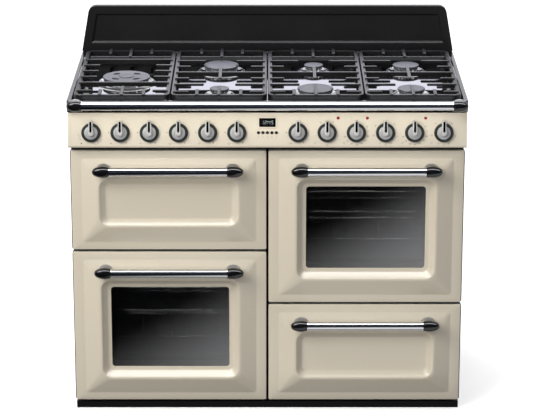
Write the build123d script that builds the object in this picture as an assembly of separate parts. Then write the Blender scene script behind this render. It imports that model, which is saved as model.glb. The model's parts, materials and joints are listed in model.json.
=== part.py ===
"""Dual-fuel range cooker: four fronts, seven gas burners, twelve controls. Millimetres, Z up, front is -Y."""
from build123d import *
from math import cos, radians, sin, tan
import os

# Overall sizes
WIDTH = 1100.0
HOB_HEIGHT = 915.0
HOB_DEPTH = 612.0
SPLASH_HEIGHT = 136.0

# Sheet thicknesses and running clearances
SHEET = 2.0
SKIN = 1.6
PIN_CLEARANCE = 0.05
SLIDE_CLEARANCE = 0.3
ARM_CLEARANCE = 0.9

# Rails and handles: round bars with almond-shaped ends
BAR_RADIUS = 12.0
END_NECK_RADIUS = 13.0
END_RADIUS = 16.0
END_BULGE_AT = 17.0
HANDLE_END = 47.0
HANDLE_MARGIN = 63.5
HANDLE_DROP = 50.0
HANDLE_OFFSET = 42.0
RAIL_END = 42.0
RAIL_MARGIN = 3.0
RAIL_OFFSET = 24.0
RAIL_DROP = 12.0
FOOT_LENGTH = 30.0
FOOT_HEIGHT = 20.0
RAIL_BAR = WIDTH - 2 * (RAIL_END + RAIL_MARGIN)

# Overall depth runs from the rail ends to the back of the splashback, centred on Y = 0
OVERALL_DEPTH = HOB_DEPTH + RAIL_OFFSET + END_RADIUS
REAR_Y = OVERALL_DEPTH / 2
HOB_FRONT_Y = REAR_Y - HOB_DEPTH

# Control panel
HOB_SKIRT = 34.0
PANEL_INSET = 2.0
PANEL_TOP_GAP = 2.0
PANEL_HEIGHT = 103.0
PANEL_GAP = 10.0
PANEL_LIP_FRONT = 4.0
PANEL_LEAN = 10.0
PANEL_LIP_RADIUS = 7.0
PANEL_WIDTH = WIDTH - 2 * PANEL_INSET
PANEL_TOP = HOB_HEIGHT - HOB_SKIRT - PANEL_TOP_GAP
PANEL_BOTTOM = PANEL_TOP - PANEL_HEIGHT

# Fronts: two columns, one tall and one short front in each
BODY_INSET = 4.0
COLUMN_GAP = 4.0
DOOR_BOTTOM = 28.0
SHORT_HEIGHT = 288.0
DOOR_GAP = 6.0
DOOR_SETBACK = 30.0
DOOR_THICKNESS = 50.0
DOOR_CORNER = 4.0
PAN_DEPTH = 16.0
BODY_WIDTH = WIDTH - 2 * BODY_INSET
DOOR_WIDTH = (BODY_WIDTH - COLUMN_GAP) / 2
COLUMN_X = (DOOR_WIDTH + COLUMN_GAP) / 2
DOOR_Y = HOB_FRONT_Y + DOOR_SETBACK
TALL_HEIGHT = PANEL_BOTTOM - PANEL_GAP - DOOR_BOTTOM - DOOR_GAP - SHORT_HEIGHT
GRILL_BOTTOM = DOOR_BOTTOM + TALL_HEIGHT + DOOR_GAP
SECOND_BOTTOM = DOOR_BOTTOM + SHORT_HEIGHT + DOOR_GAP
HANDLE_BAR = DOOR_WIDTH - 2 * (HANDLE_END + HANDLE_MARGIN)

# Pressing of the fronts: flat border, four facets up to a ridge, sunk centre
BORDER_SIDE = 30.0
BORDER_END = 23.0
RIDGE_SIDE = 80.0
RIDGE_END = 77.0
RIDGE_FLAT = 5.0
RIDGE_RISE = 24.0
FACET_CORNER = 8.0
DISH_CORNER = 26.0
DISH_SLOPE = 18.0
DISH_FLOOR_CORNER = 12.0
BLIND_FLOOR = 8.0
WINDOW_FLOOR = 2.0
WINDOW_LIP = 8.0
WINDOW_CORNER = 9.0
GLASS_THICKNESS = 4.0
GLASS_LAP = 9.0

# Front frame and cavities
FRAME_GAP = 4.0
FRAME_SHEET = 3.0
FRAME_Y = DOOR_Y + DOOR_THICKNESS + FRAME_GAP
FRAME_BACK_Y = FRAME_Y + FRAME_SHEET
BASE_TOP = 20.0
MOUTH_MARGIN = 52.0
MOUTH_UP = 82.0
MOUTH_DOWN = 42.0
MOUTH_CORNER = 18.0
MOUTH_WIDTH = DOOR_WIDTH - 2 * MOUTH_MARGIN
CAVITY_REST = 182.0
CAVITY_DEPTH = HOB_DEPTH - CAVITY_REST
CAVITY_FLANGE = 14.0
SEAL_WIDTH = 9.0
SEAL_MARGIN = 3.0
GUIDE_DEPTH = 9.0
GUIDE_HEIGHT = 5.0
WIRE_RADIUS = 3.0
ROD_RADIUS = 2.0
RACK_RODS = 9
CONTROL_MARGIN = 10.0
CONTROL_EDGE = 23.0
ELEMENT_RADIUS = 3.5
ELEMENT_DROP = 22.0
ELEMENT_LOOPS = (4, 3, 3)

# Door liner and hinges
LINER_INSET = 0.4
PLUG_SIDE = 34.0
PLUG_LOW = 30.0
PLUG_TOP = 24.0
PLUG_CORNER = 14.0
INNER_WINDOW_MARGIN = 78.0
PIVOT_UP = 42.0
PIVOT_BACK = 8.0
HINGE_INSET = 20.0
HINGE_X = MOUTH_WIDTH / 2 - HINGE_INSET
ARM_WIDTH = 9.0
ARM_HALF = 5.0
EYE_RADIUS = 7.0
CHEEK = 4.0
PIN_RADIUS = 4.0
HINGE_FLANGE = 24.0

# Controls: six knobs each side of the clock
KNOBS_PER_SIDE = 6
GAS_KNOBS = 7
LAMP_KNOBS = (8, 9, 11)
KNOB_UP = 46.0
KNOB_FIRST_X = 84.0
KNOB_END_MARGIN = 64.0
KNOB_RADIUS = 26.5
KNOB_SKIRT = 7.0
KNOB_GAP = 0.8
KNOB_DISC_RADIUS = 19.5
KNOB_DISC = 3.0
LEVER_TOP = 35.0
LEVER_TIP_RADIUS = 4.5
LEVER_ROOT_RADIUS = 8.5
LEVER_RISE = 15.0
LEVER_SLIM = 2.0
SPINDLE_RADIUS = 4.0
SPINDLE_LENGTH = 24.0
SPINDLE_HOLE = 7.0
TAP_RADIUS = 11.0
TAP_LENGTH = 36.0
CONTROL_RADIUS = 18.0
CONTROL_LENGTH = 30.0
GAS_RAIL_SIZE = 16.0
INLET_INSET = 24.0
INLET_RADIUS = 10.5
INLET_LENGTH = 22.0
PIPE_RADIUS = 7.5
LAMP_X = 30.0
LAMP_UP = 40.0
LAMP_RADIUS = 3.5
CLOCK_WIDTH = 45.0
CLOCK_HEIGHT = 24.0
CLOCK_UP = 28.0
CLOCK_BEZEL = 4.0
CLOCK_BODY_WIDTH = 80.0
CLOCK_BODY_HEIGHT = 64.0
CLOCK_BODY_DEPTH = 26.0
BUTTON_COUNT = 5
BUTTON_PITCH = 12.3
BUTTON_RADIUS = 4.15
BUTTON_STAND = 2.6
BUTTON_TRAVEL = 1.5
COLLAR_RADIUS = 5.0
COLLAR_THICKNESS = 1.0
STEM_RADIUS = 2.0
STEM_LENGTH = 12.0
KNOB_HEIGHT = PANEL_BOTTOM + KNOB_UP
KNOB_PITCH = (PANEL_WIDTH / 2 - KNOB_END_MARGIN - KNOB_FIRST_X) / (KNOBS_PER_SIDE - 1)
INLET_X = INLET_INSET - BODY_WIDTH / 2

# Hob and splashback
HOB_CORNER = 16.0
HOB_EDGE = 5.0
HOB_RETURN = 10.0
RIM_SIDE = 12.0
RIM_FRONT = 8.0
BASIN_DEPTH = 14.0
BASIN_CORNER = 22.0
SPLASH_DEPTH = 24.0
SPLASH_TAPER = 24.0
SPLASH_CORNER = 24.0
FIELD_INSET = 24.0
FIELD_SLOPE = 5.0
FIELD_RISE = 3.0

# Pan supports: one cast grate over each quarter of the hob
GRATES = {"left": -1.5, "centre_left": -0.5, "centre_right": 0.5, "right": 1.5}
GRATE_MARGIN = 18.0
GRATE_GAP = 4.0
GRATE_FRONT = 6.0
GRATE_REAR = 52.0
GRATE_TOP = 19.0
GRATE_BAR = 11.0
GRATE_DEPTH = 15.0
GRATE_CORNER = 22.0
GRATE_FOOT_AT = 40.0
GRATE_FOOT_SLIM = 2.0
GRATE_FOOT_LENGTH = 15.0
GRATE_FOOT_FLARE = 8.0
FINGER_WIDTH = 9.0
FINGER_RISE = 4.0
FINGER_DEPTH = 12.0
FINGER_SPREAD = 60.0
CENTRE_FINGER = 78.0
OUTER_FINGER = 42.0
FINGER_OVERHANG = 16.0
CROSS_FINGER = 68.0
BURNER_FINGER = 82.0
SHORT_FINGER = 40.0
WOK_FINGER = 46.0
FRONT_FINGER_STEP = 82.0
INNER_FINGER_STEP = 68.0
WOK_FRONT_FINGER = 48.0
WOK_FINGER_STEPS = (-50.0, 17.0, 85.0)
WOK_BAR_STEPS = (20.0, 16.0)
GRATE_PITCH = (WIDTH - 2 * GRATE_MARGIN) / len(GRATES)
GRATE_LENGTH = HOB_DEPTH - SPLASH_DEPTH - GRATE_FRONT - GRATE_REAR

# Burners: rows are distances behind the hob's front edge
ROW_FRONT_INSET = 112.0
ROW_REAR_INSET = 144.0
CAP_WOK = 134.0
CAP_RAPID = 100.0
CAP_MEDIUM = 76.0
CAP_SIMMER = 54.0
WOK_CORE = 40.0
BURNER_FLANGE = 12.0
BURNER_BASE = 6.0
BURNER_CROWN = 10.0
BURNER_CAP = 6.0
BURNER_BODY = 14.0
PORT_COUNT = 14
PORT_WIDTH = 3.0
ELECTRODE_OFFSET = 4.0
ELECTRODE_RADIUS = 2.5
ROW_FRONT = GRATE_FRONT + ROW_FRONT_INSET
ROW_REAR = GRATE_FRONT + GRATE_LENGTH - ROW_REAR_INSET
ROW_WOK = (ROW_FRONT + ROW_REAR) / 2

# Body, base, plinth, feet
VENT_LENGTH = 150.0
VENT_WIDTH = 7.0
VENT_COUNT = 6
VENT_PITCH = 16.0
VENT_DROP = 60.0
TRAY_EDGE = 25.0
PLINTH_SETBACK = 22.0
PLINTH_CLEAR = 4.0
FOOT_PAD_RADIUS = 20.0
FOOT_PAD = 7.0
FOOT_STEM_RADIUS = 6.0
FEET_SIDE = 56.0
FEET_INSET = 50.0

# Drawer
DRAWER_MARGIN = 47.0
DRAWER_UP = 34.0
DRAWER_BOX_HEIGHT = 160.0
DRAWER_REST = 142.0
DRAWER_MOUTH_EDGE = 23.0
RUNNER_UP = 68.0
RUNNER_BAR_WIDTH = 10.0
RUNNER_BAR_HEIGHT = 12.0
RUNNER_FOOT = 20.0
DRAWER_HALF = DOOR_WIDTH / 2 - DRAWER_MARGIN
DRAWER_BOX_BOTTOM = DOOR_BOTTOM + DRAWER_UP
DRAWER_BOX_DEPTH = HOB_DEPTH - DRAWER_REST

MIN_Z = (Align.CENTER, Align.CENTER, Align.MIN)


def slab(x0, x1, y0, y1, z0, z1):
    """Rectangular solid between two corners."""
    return Pos((x0 + x1) / 2, (y0 + y1) / 2, (z0 + z1) / 2) * Box(x1 - x0, y1 - y0, z1 - z0)


def plate(width, height, corner, low, high):
    """Round-cornered plate of the working plane, from level low to level high."""
    return extrude(Pos(0, 0, low) * RectangleRounded(width, height, corner), high - low)


def taper(lower, upper, low, high):
    """Solid drawn between two round-cornered rectangles, each (width, height, corner)."""
    ends = [Pos(0, 0, low) * RectangleRounded(*lower), Pos(0, 0, high) * RectangleRounded(*upper)]
    return loft(ends, ruled=True)


def rod(radius, low, high):
    """Round bar on the working plane's axis."""
    return Pos(0, 0, low) * Cylinder(radius, high - low, align=MIN_Z)


def rod_between(start, end, radius):
    """Round bar from one point to another."""
    axis = Vector(*end) - Vector(*start)
    return Plane(origin=start, z_dir=axis) * rod(radius, 0, axis.length)


def group(pieces):
    """Several separate solids that share one node."""
    return Compound([solid for piece in pieces for solid in piece.solids()])


def save(shape, node):
    """Write one node's solids."""
    export_step(shape, f"parts/{node}.step")


def front_plane(x, z):
    """Plane on the border face of a front: x right, y up, z towards the cook."""
    return Plane(origin=(x, DOOR_Y, z), x_dir=(1, 0, 0), z_dir=(0, -1, 0))


def panel_point_y(z):
    """Y of the leaning control panel's face at height z."""
    return HOB_FRONT_Y + PANEL_LIP_FRONT + (z - PANEL_BOTTOM) * tan(radians(PANEL_LEAN))


def panel_plane(x, z):
    """Plane on the control panel's face: x right, y up the face, z outwards."""
    outward = (0, -cos(radians(PANEL_LEAN)), sin(radians(PANEL_LEAN)))
    return Plane(origin=(x, panel_point_y(z), z), x_dir=(1, 0, 0), z_dir=outward)


# Fronts

def dish_size(height):
    """Mouth of the sunk centre of a front."""
    return DOOR_WIDTH - 2 * RIDGE_SIDE, height - 2 * RIDGE_END, DISH_CORNER


def dish_floor_size(height):
    """Floor of the sunk centre of a front."""
    width, tall, _ = dish_size(height)
    return width - 2 * DISH_SLOPE, tall - 2 * DISH_SLOPE, DISH_FLOOR_CORNER


def window_size(height):
    """Glazed opening in the floor of the sunk centre."""
    width, tall, _ = dish_floor_size(height)
    return width - 2 * WINDOW_LIP, tall - 2 * WINDOW_LIP, WINDOW_CORNER


def grown(size, amount):
    """Round-cornered rectangle pushed outwards by an amount."""
    width, height, corner = size
    return width + 2 * amount, height + 2 * amount, corner + amount


def front_form(height):
    """Solid form of a pressed front without its sunk centre."""
    facet = (DOOR_WIDTH - 2 * BORDER_SIDE, height - 2 * BORDER_END, FACET_CORNER)
    ridge = grown(dish_size(height), RIDGE_FLAT)
    pan = plate(DOOR_WIDTH, height, DOOR_CORNER, -PAN_DEPTH, 0)
    return pan + taper(facet, ridge, 0, RIDGE_RISE)


def pressed_front(height, glazed):
    """Enamelled sheet front, open at the back, with a glazed or a blind centre."""
    facet = (DOOR_WIDTH - 2 * BORDER_SIDE, height - 2 * BORDER_END, FACET_CORNER)
    dish = dish_size(height)
    floor_size = dish_floor_size(height)
    floor = WINDOW_FLOOR if glazed else BLIND_FLOOR
    inside = plate(DOOR_WIDTH - 2 * SKIN, height - 2 * SKIN, DOOR_CORNER - SKIN, -PAN_DEPTH, -SKIN)
    inside += taper(facet, grown(dish, RIDGE_FLAT), -SKIN, RIDGE_RISE - SKIN)
    inside -= taper(grown(floor_size, SKIN), grown(dish, SKIN), floor - SKIN, RIDGE_RISE)
    front = front_form(height) - taper(floor_size, dish, floor, RIDGE_RISE) - inside
    if glazed:
        front -= plate(*window_size(height), floor - 2 * SKIN, floor + SKIN)
    return front


def hinge_notches(height):
    """Slots in a front's bottom return that let the hinge arms out as the door tips."""
    bottom = -height / 2
    half = ARM_WIDTH / 2 + ARM_CLEARANCE
    return [slab(x - half, x + half, bottom - SKIN, bottom + 2 * SKIN, -PAN_DEPTH, -SKIN)
            for x in (-HINGE_X, HINGE_X)]


def door_liner(height, glazed):
    """Inner pressing of a door: cover sheet, plug that faces the oven, hinge cheeks with bored eyes."""
    bottom = -height / 2
    pivot = bottom + PIVOT_UP
    back = -PAN_DEPTH - SKIN
    plug_height = height - PLUG_LOW - PLUG_TOP
    plug_width = DOOR_WIDTH - 2 * PLUG_SIDE
    plug_at = Pos(0, bottom + PLUG_LOW + plug_height / 2, 0)
    hollow = (plug_width - 2 * SKIN, plug_height - 2 * SKIN, PLUG_CORNER - SKIN)
    liner = plate(DOOR_WIDTH - 2 * LINER_INSET, height - 2 * LINER_INSET, DOOR_CORNER, back, -PAN_DEPTH)
    liner += plug_at * plate(plug_width, plug_height, PLUG_CORNER, -DOOR_THICKNESS, back)
    liner -= plug_at * plate(*hollow, -DOOR_THICKNESS + SKIN, -PAN_DEPTH)
    if glazed:
        liner -= plate(*inner_window(height), -DOOR_THICKNESS, -PAN_DEPTH)
    half = ARM_WIDTH / 2 + ARM_CLEARANCE
    for x in (-HINGE_X, HINGE_X):
        low = bottom - SKIN
        high = pivot + ARM_HALF + 2 * ARM_CLEARANCE
        liner -= slab(x - half, x + half, low, high, -DOOR_THICKNESS - SKIN, -PAN_DEPTH + SKIN)
        for side in (-1, 1):
            near, far = sorted((x + side * half, x + side * (half + CHEEK)))
            cheek = slab(near, far, pivot - EYE_RADIUS, pivot + EYE_RADIUS, -DOOR_THICKNESS, -PIVOT_BACK)
            cheek += rod_between((near, pivot, -PIVOT_BACK), (far, pivot, -PIVOT_BACK), EYE_RADIUS)
            bore = PIN_RADIUS + PIN_CLEARANCE
            cheek -= rod_between((near, pivot, -PIVOT_BACK), (far, pivot, -PIVOT_BACK), bore)
            liner += cheek
    return liner


def inner_window(height):
    """Opening in the plug for the inner glass."""
    width = DOOR_WIDTH - 2 * (PLUG_SIDE + INNER_WINDOW_MARGIN)
    return width, height - 2 * RIDGE_END - 4 * DISH_SLOPE, PLUG_CORNER


def door_glass(height):
    """Outer pane behind the pressed front and inner pane in the plug."""
    front = WINDOW_FLOOR - SKIN
    outer = plate(*grown(window_size(height), GLASS_LAP), front - GLASS_THICKNESS, front)
    back = -DOOR_THICKNESS + SKIN
    inner = plate(*grown(inner_window(height), GLASS_LAP), back, back + GLASS_THICKNESS)
    return [outer, inner]


def almond_end(length):
    """Black end of a rail, turned about Z: neck at level 0, point at level length."""
    flank = ThreePointArc((END_NECK_RADIUS, 0), (END_RADIUS, END_BULGE_AT), (0, length))
    edge = flank + [Line((0, length), (0, 0)), Line((0, 0), (END_NECK_RADIUS, 0))]
    profile = Plane.XZ * make_face(edge)
    return revolve(profile, Axis.Z)


def rail_set(bar_length, end_length, reach):
    """Round bar along x with an almond end and a stand-off foot on each end; the feet reach back along -z."""
    half = bar_length / 2
    pieces = [rod_between((-half, 0, 0), (half, 0, 0), BAR_RADIUS)]
    for side in (-1, 1):
        out = Plane(origin=(side * half, 0, 0), x_dir=(0, 0, 1), z_dir=(side, 0, 0))
        foot = Pos(side * (half + END_BULGE_AT), 0, -reach) * Ellipse(FOOT_LENGTH / 2, FOOT_HEIGHT / 2)
        foot = extrude(foot, reach) & slab(*sorted((side * half, side * (half + end_length))),
                                           -reach, reach, -reach, 0)
        pieces.append(out * almond_end(end_length) + foot)
    return pieces


def front_handle(height):
    """Handle of one front, its feet cut to the facet that they stand on."""
    at = Pos(0, height / 2 - HANDLE_DROP, HANDLE_OFFSET)
    form = front_form(height)
    bar, left, right = [at * piece for piece in rail_set(HANDLE_BAR, HANDLE_END, HANDLE_OFFSET + SKIN)]
    return [bar, left - form, right - form]


def build_door(name, x, bottom, height, glazed):
    """One drop-down door: pressed front, liner, glass and handle."""
    at = front_plane(x, bottom + height / 2)
    front = pressed_front(height, glazed)
    for notch in hinge_notches(height):
        front -= notch
    save(at * front, f"{name}_panel")
    save(at * door_liner(height, glazed), f"{name}_liner")
    save(group([at * piece for piece in front_handle(height)]), f"{name}_handle")
    if glazed:
        save(group([at * pane for pane in door_glass(height)]), f"{name}_glass")


def hinge_bracket(x, bottom):
    """Arm with its hinge pin, flanged to the back of the front frame."""
    pivot_y = DOOR_Y + PIVOT_BACK
    pivot_z = bottom + PIVOT_UP
    half = ARM_WIDTH / 2
    reach = half + ARM_CLEARANCE + CHEEK
    arm = slab(x - half, x + half, pivot_y, FRAME_BACK_Y, pivot_z - ARM_HALF, pivot_z + ARM_HALF)
    arm += rod_between((x - half, pivot_y, pivot_z), (x + half, pivot_y, pivot_z), ARM_HALF)
    arm += rod_between((x - reach, pivot_y, pivot_z), (x + reach, pivot_y, pivot_z), PIN_RADIUS)
    flange = HINGE_FLANGE / 2
    return arm + slab(x - flange, x + flange, FRAME_BACK_Y, FRAME_BACK_Y + SHEET,
                      pivot_z - flange, pivot_z + flange)


def build_drawer():
    """Storage drawer: pressed front, handle, and a folded box with a runner bar on each side."""
    mid = DOOR_BOTTOM + SHORT_HEIGHT / 2
    at = front_plane(COLUMN_X, mid)
    save(at * pressed_front(SHORT_HEIGHT, False), "drawer_front")
    save(group([at * piece for piece in front_handle(SHORT_HEIGHT)]), "drawer_handle")
    cover_y = DOOR_Y + PAN_DEPTH
    low = DRAWER_BOX_BOTTOM
    high = low + DRAWER_BOX_HEIGHT
    rear = cover_y + SKIN + DRAWER_BOX_DEPTH
    box = at * plate(DOOR_WIDTH - 2 * LINER_INSET, SHORT_HEIGHT - 2 * LINER_INSET, DOOR_CORNER,
                     -PAN_DEPTH - SKIN, -PAN_DEPTH)
    left, right = COLUMN_X - DRAWER_HALF, COLUMN_X + DRAWER_HALF
    box += slab(left, right, cover_y + SKIN, rear, low, high)
    box -= slab(left + SKIN, right - SKIN, cover_y + 2 * SKIN, rear - SKIN, low + SKIN, high)
    bar_low = low + RUNNER_UP
    for near, far in ((left - RUNNER_BAR_WIDTH, left), (right, right + RUNNER_BAR_WIDTH)):
        box += slab(near, far, FRAME_BACK_Y, rear, bar_low, bar_low + RUNNER_BAR_HEIGHT)
    save(box, "drawer_box")


def drawer_runners():
    """Two folded channels that stand on the base and carry the drawer's bars."""
    low = DRAWER_BOX_BOTTOM + RUNNER_UP - SLIDE_CLEARANCE
    high = low + RUNNER_BAR_HEIGHT + 2 * SLIDE_CLEARANCE
    inner = DRAWER_HALF + RUNNER_BAR_WIDTH + SLIDE_CLEARANCE
    lip = DRAWER_HALF + SLIDE_CLEARANCE
    outline = [(lip, low), (inner, low), (inner, high), (lip, high), (lip, high + SHEET),
               (inner + SHEET, high + SHEET), (inner + SHEET, BASE_TOP + SHEET),
               (inner + RUNNER_FOOT, BASE_TOP + SHEET), (inner + RUNNER_FOOT, BASE_TOP),
               (inner, BASE_TOP), (inner, low - SHEET), (lip, low - SHEET)]
    length = DRAWER_BOX_DEPTH - DOOR_THICKNESS
    section = make_face(Polyline(*outline, close=True))
    at = Plane(origin=(COLUMN_X, FRAME_BACK_Y, 0), x_dir=(1, 0, 0), z_dir=(0, -1, 0))
    right = extrude(at * section, -length)
    left = mirror(right, Plane(origin=(COLUMN_X, 0, 0), z_dir=(1, 0, 0)))
    return [right, left]


# Body

def mouth(bottom, height):
    """Lowest and highest edge of the oven mouth behind a door."""
    return bottom + MOUTH_UP, bottom + height - MOUTH_DOWN


OVENS = {
    "grill": (-COLUMN_X, GRILL_BOTTOM, SHORT_HEIGHT),
    "main_oven": (-COLUMN_X, DOOR_BOTTOM, TALL_HEIGHT),
    "second_oven": (COLUMN_X, SECOND_BOTTOM, TALL_HEIGHT),
}


def mouth_plane(x, bottom, height, y):
    """Plane across an oven mouth at depth y: x right, y up, z to the front."""
    low, high = mouth(bottom, height)
    return Plane(origin=(x, y, (low + high) / 2), x_dir=(1, 0, 0), z_dir=(0, -1, 0))


def mouth_size(bottom, height):
    """Width, height and corner of an oven mouth."""
    low, high = mouth(bottom, height)
    return MOUTH_WIDTH, high - low, MOUTH_CORNER


def front_frame():
    """Welded frame of flat bars: stiles, rails between the openings, a header, slots for the hinge arms."""
    half = BODY_WIDTH / 2 - SHEET
    top = HOB_HEIGHT - HOB_SKIRT
    header_low = PANEL_BOTTOM + CONTROL_EDGE
    header_high = top - CONTROL_EDGE
    left = -COLUMN_X - MOUTH_WIDTH / 2
    left_inner = -COLUMN_X + MOUTH_WIDTH / 2
    drawer_half = DRAWER_HALF + RUNNER_BAR_WIDTH + SHEET
    right_inner = COLUMN_X - drawer_half
    right = COLUMN_X + drawer_half
    main_low, main_high = mouth(DOOR_BOTTOM, TALL_HEIGHT)
    grill_low, grill_high = mouth(GRILL_BOTTOM, SHORT_HEIGHT)
    second_low, second_high = mouth(SECOND_BOTTOM, TALL_HEIGHT)
    drawer_low = DRAWER_BOX_BOTTOM - DRAWER_MOUTH_EDGE
    drawer_high = DRAWER_BOX_BOTTOM + DRAWER_BOX_HEIGHT + DRAWER_MOUTH_EDGE
    bars = [
        (-half, left, BASE_TOP, header_low),
        (left_inner, right_inner, BASE_TOP, header_low),
        (right, half, BASE_TOP, header_low),
        (left, left_inner, BASE_TOP, main_low),
        (left, left_inner, main_high, grill_low),
        (left, left_inner, grill_high, header_low),
        (right_inner, right, BASE_TOP, drawer_low),
        (right_inner, right, drawer_high, second_low),
        (right_inner, right, second_high, header_low),
        (right_inner, COLUMN_X - MOUTH_WIDTH / 2, second_low, second_high),
        (COLUMN_X + MOUTH_WIDTH / 2, right, second_low, second_high),
        (-half, CONTROL_MARGIN - half, header_low, header_high),
        (half - CONTROL_MARGIN, half, header_low, header_high),
        (-half, half, header_high, top),
    ]
    slot = ARM_WIDTH / 2 + SLIDE_CLEARANCE
    high = ARM_HALF + SLIDE_CLEARANCE
    slots = [slab(x + side * HINGE_X - slot, x + side * HINGE_X + slot, FRAME_Y, FRAME_BACK_Y,
                  bottom + PIVOT_UP - high, bottom + PIVOT_UP + high)
             for x, bottom, height in OVENS.values() for side in (-1, 1)]
    return [slab(x0, x1, FRAME_Y, FRAME_BACK_Y, z0, z1) - slots for x0, x1, z0, z1 in bars]


def oven_levels(bottom, height):
    """Heights of the rack guides in one cavity."""
    low, high = mouth(bottom, height)
    count = 1 if height == SHORT_HEIGHT else 2
    return [low + (high - low) * (i + 1) / (count + 2) for i in range(count)]


def oven_cavity(x, bottom, height):
    """Pressed oven liner with a front flange and side guides for the racks."""
    size = mouth_size(bottom, height)
    at = mouth_plane(x, bottom, height, FRAME_BACK_Y)
    box = plate(*grown(size, SHEET), -CAVITY_DEPTH - SHEET, 0)
    box += plate(*grown(size, CAVITY_FLANGE), -SHEET, 0)
    box -= plate(*size, -CAVITY_DEPTH, 0)
    low, high = mouth(bottom, height)
    for level in oven_levels(bottom, height):
        z = level - (low + high) / 2
        half = MOUTH_WIDTH / 2
        for side in (-1, 1):
            near, far = sorted((side * half, side * (half - GUIDE_DEPTH)))
            box += slab(near, far, z - GUIDE_HEIGHT, z, -CAVITY_DEPTH, -CAVITY_FLANGE)
    return at * box


def wire_rack(x, level):
    """Chromed wire shelf that rests on two guides."""
    half = MOUTH_WIDTH / 2 - WIRE_RADIUS - SLIDE_CLEARANCE
    front = FRAME_BACK_Y + CAVITY_FLANGE + WIRE_RADIUS
    back = FRAME_BACK_Y + CAVITY_DEPTH - CAVITY_FLANGE
    z = level + WIRE_RADIUS
    wires = [rod_between((x - half, y, z), (x + half, y, z), WIRE_RADIUS)
             for y in (front, (front + back) / 2, back)]
    wires += [rod_between((side_x, front, z), (side_x, back, z), WIRE_RADIUS)
              for side_x in (x - half, x + half)]
    step = 2 * half / (RACK_RODS + 1)
    for i in range(RACK_RODS):
        rod_x = x - half + step * (i + 1)
        wires.append(rod_between((rod_x, front, z + ROD_RADIUS), (rod_x, back, z + ROD_RADIUS), ROD_RADIUS))
    return wires[0] + wires[1:]


def sheath_element(x, z, loops):
    """Sheathed heating element: a flat serpentine whose two tails pass through the oven's rear wall."""
    rear = FRAME_BACK_Y + CAVITY_DEPTH
    front = FRAME_BACK_Y + 4 * CAVITY_FLANGE
    bend = rear - 3 * CAVITY_FLANGE
    span = MOUTH_WIDTH - 4 * CAVITY_FLANGE
    step = span / (2 * loops - 1)
    points = []
    for i in range(2 * loops):
        lane = x - span / 2 + i * step
        ends = (bend, front) if i % 2 == 0 else (front, bend)
        points += [(lane, ends[0], z), (lane, ends[1], z)]
    points[0] = (points[0][0], rear, z)
    points[-1] = (points[-1][0], rear, z)
    path = FilletPolyline(*points, radius=step / 2 - ELEMENT_RADIUS / 2)
    start = Plane(origin=points[0], z_dir=(0, -1, 0))
    return sweep(start * Circle(ELEMENT_RADIUS), path=path)


def door_seal(x, bottom, height):
    """Round-cornered seal ring on the frame round one oven mouth."""
    size = mouth_size(bottom, height)
    inner = grown(size, SEAL_MARGIN)
    outer = grown(size, SEAL_MARGIN + SEAL_WIDTH)
    thick = FRAME_GAP - SLIDE_CLEARANCE
    ring = plate(*outer, 0, thick) - plate(*inner, 0, thick)
    return mouth_plane(x, bottom, height, FRAME_Y) * ring


def side_panels():
    """Two outer side sheets with a folded rear edge."""
    outer = BODY_WIDTH / 2
    top = HOB_HEIGHT - HOB_SKIRT
    panel = slab(outer - SHEET, outer, FRAME_Y, REAR_Y - SHEET, BASE_TOP - SHEET, top)
    return [panel, mirror(panel, Plane.YZ)]


def back_panel():
    """Rear sheet with two banks of vent slots and the gas inlet hole."""
    outer = BODY_WIDTH / 2
    top = HOB_HEIGHT - HOB_SKIRT
    panel = slab(-outer, outer, REAR_Y - SHEET, REAR_Y, BASE_TOP - SHEET, top)
    slot = Plane.XZ * SlotOverall(VENT_LENGTH, VENT_WIDTH)
    for bank_x in (-COLUMN_X, COLUMN_X):
        for i in range(VENT_COUNT):
            z = top - VENT_DROP - i * VENT_PITCH
            panel -= Pos(bank_x, REAR_Y, z) * extrude(slot, SHEET, both=True)
    inlet = Pos(INLET_X, REAR_Y, gas_rail_z()) * (Plane.XZ * Circle(INLET_RADIUS + 4 * SLIDE_CLEARANCE))
    return panel - extrude(inlet, SHEET, both=True)


def gas_rail_z():
    """Height of the gas rail's axis behind the leaning panel."""
    return (panel_plane(0, KNOB_HEIGHT) * Pos(0, 0, -SHEET - TAP_LENGTH - GAS_RAIL_SIZE / 2)).position.Z


def base_tray():
    """Floor of the body with upturned edges."""
    half = BODY_WIDTH / 2 - SHEET
    rear = REAR_Y - SHEET
    tray = slab(-half, half, FRAME_Y, rear, BASE_TOP - SHEET, BASE_TOP)
    edges = slab(-half, half, FRAME_BACK_Y, rear, BASE_TOP, BASE_TOP + TRAY_EDGE)
    edges -= slab(-half + SHEET, half - SHEET, FRAME_BACK_Y, rear - SHEET, BASE_TOP, BASE_TOP + TRAY_EDGE)
    return tray + edges


def plinth():
    """Channel under the doors, its top flange folded back to the base."""
    front = DOOR_Y + PLINTH_SETBACK
    half = BODY_WIDTH / 2 - SHEET
    top = BASE_TOP
    channel = slab(-half, half, front, FRAME_Y, PLINTH_CLEAR, top)
    return channel - slab(-half + SHEET, half - SHEET, front + SHEET, FRAME_Y, PLINTH_CLEAR, top - SHEET)


def levelling_foot(x, y):
    """Screw foot with a round pad."""
    top = BASE_TOP - SHEET
    profile = Polyline((0, 0), (FOOT_PAD_RADIUS, 0), (FOOT_PAD_RADIUS, FOOT_PAD / 2),
                       (FOOT_STEM_RADIUS, FOOT_PAD), (FOOT_STEM_RADIUS, top), (0, top), close=True)
    return Pos(x, y, 0) * revolve(make_face(Plane.XZ * profile), Axis.Z)


# Hob

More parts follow.
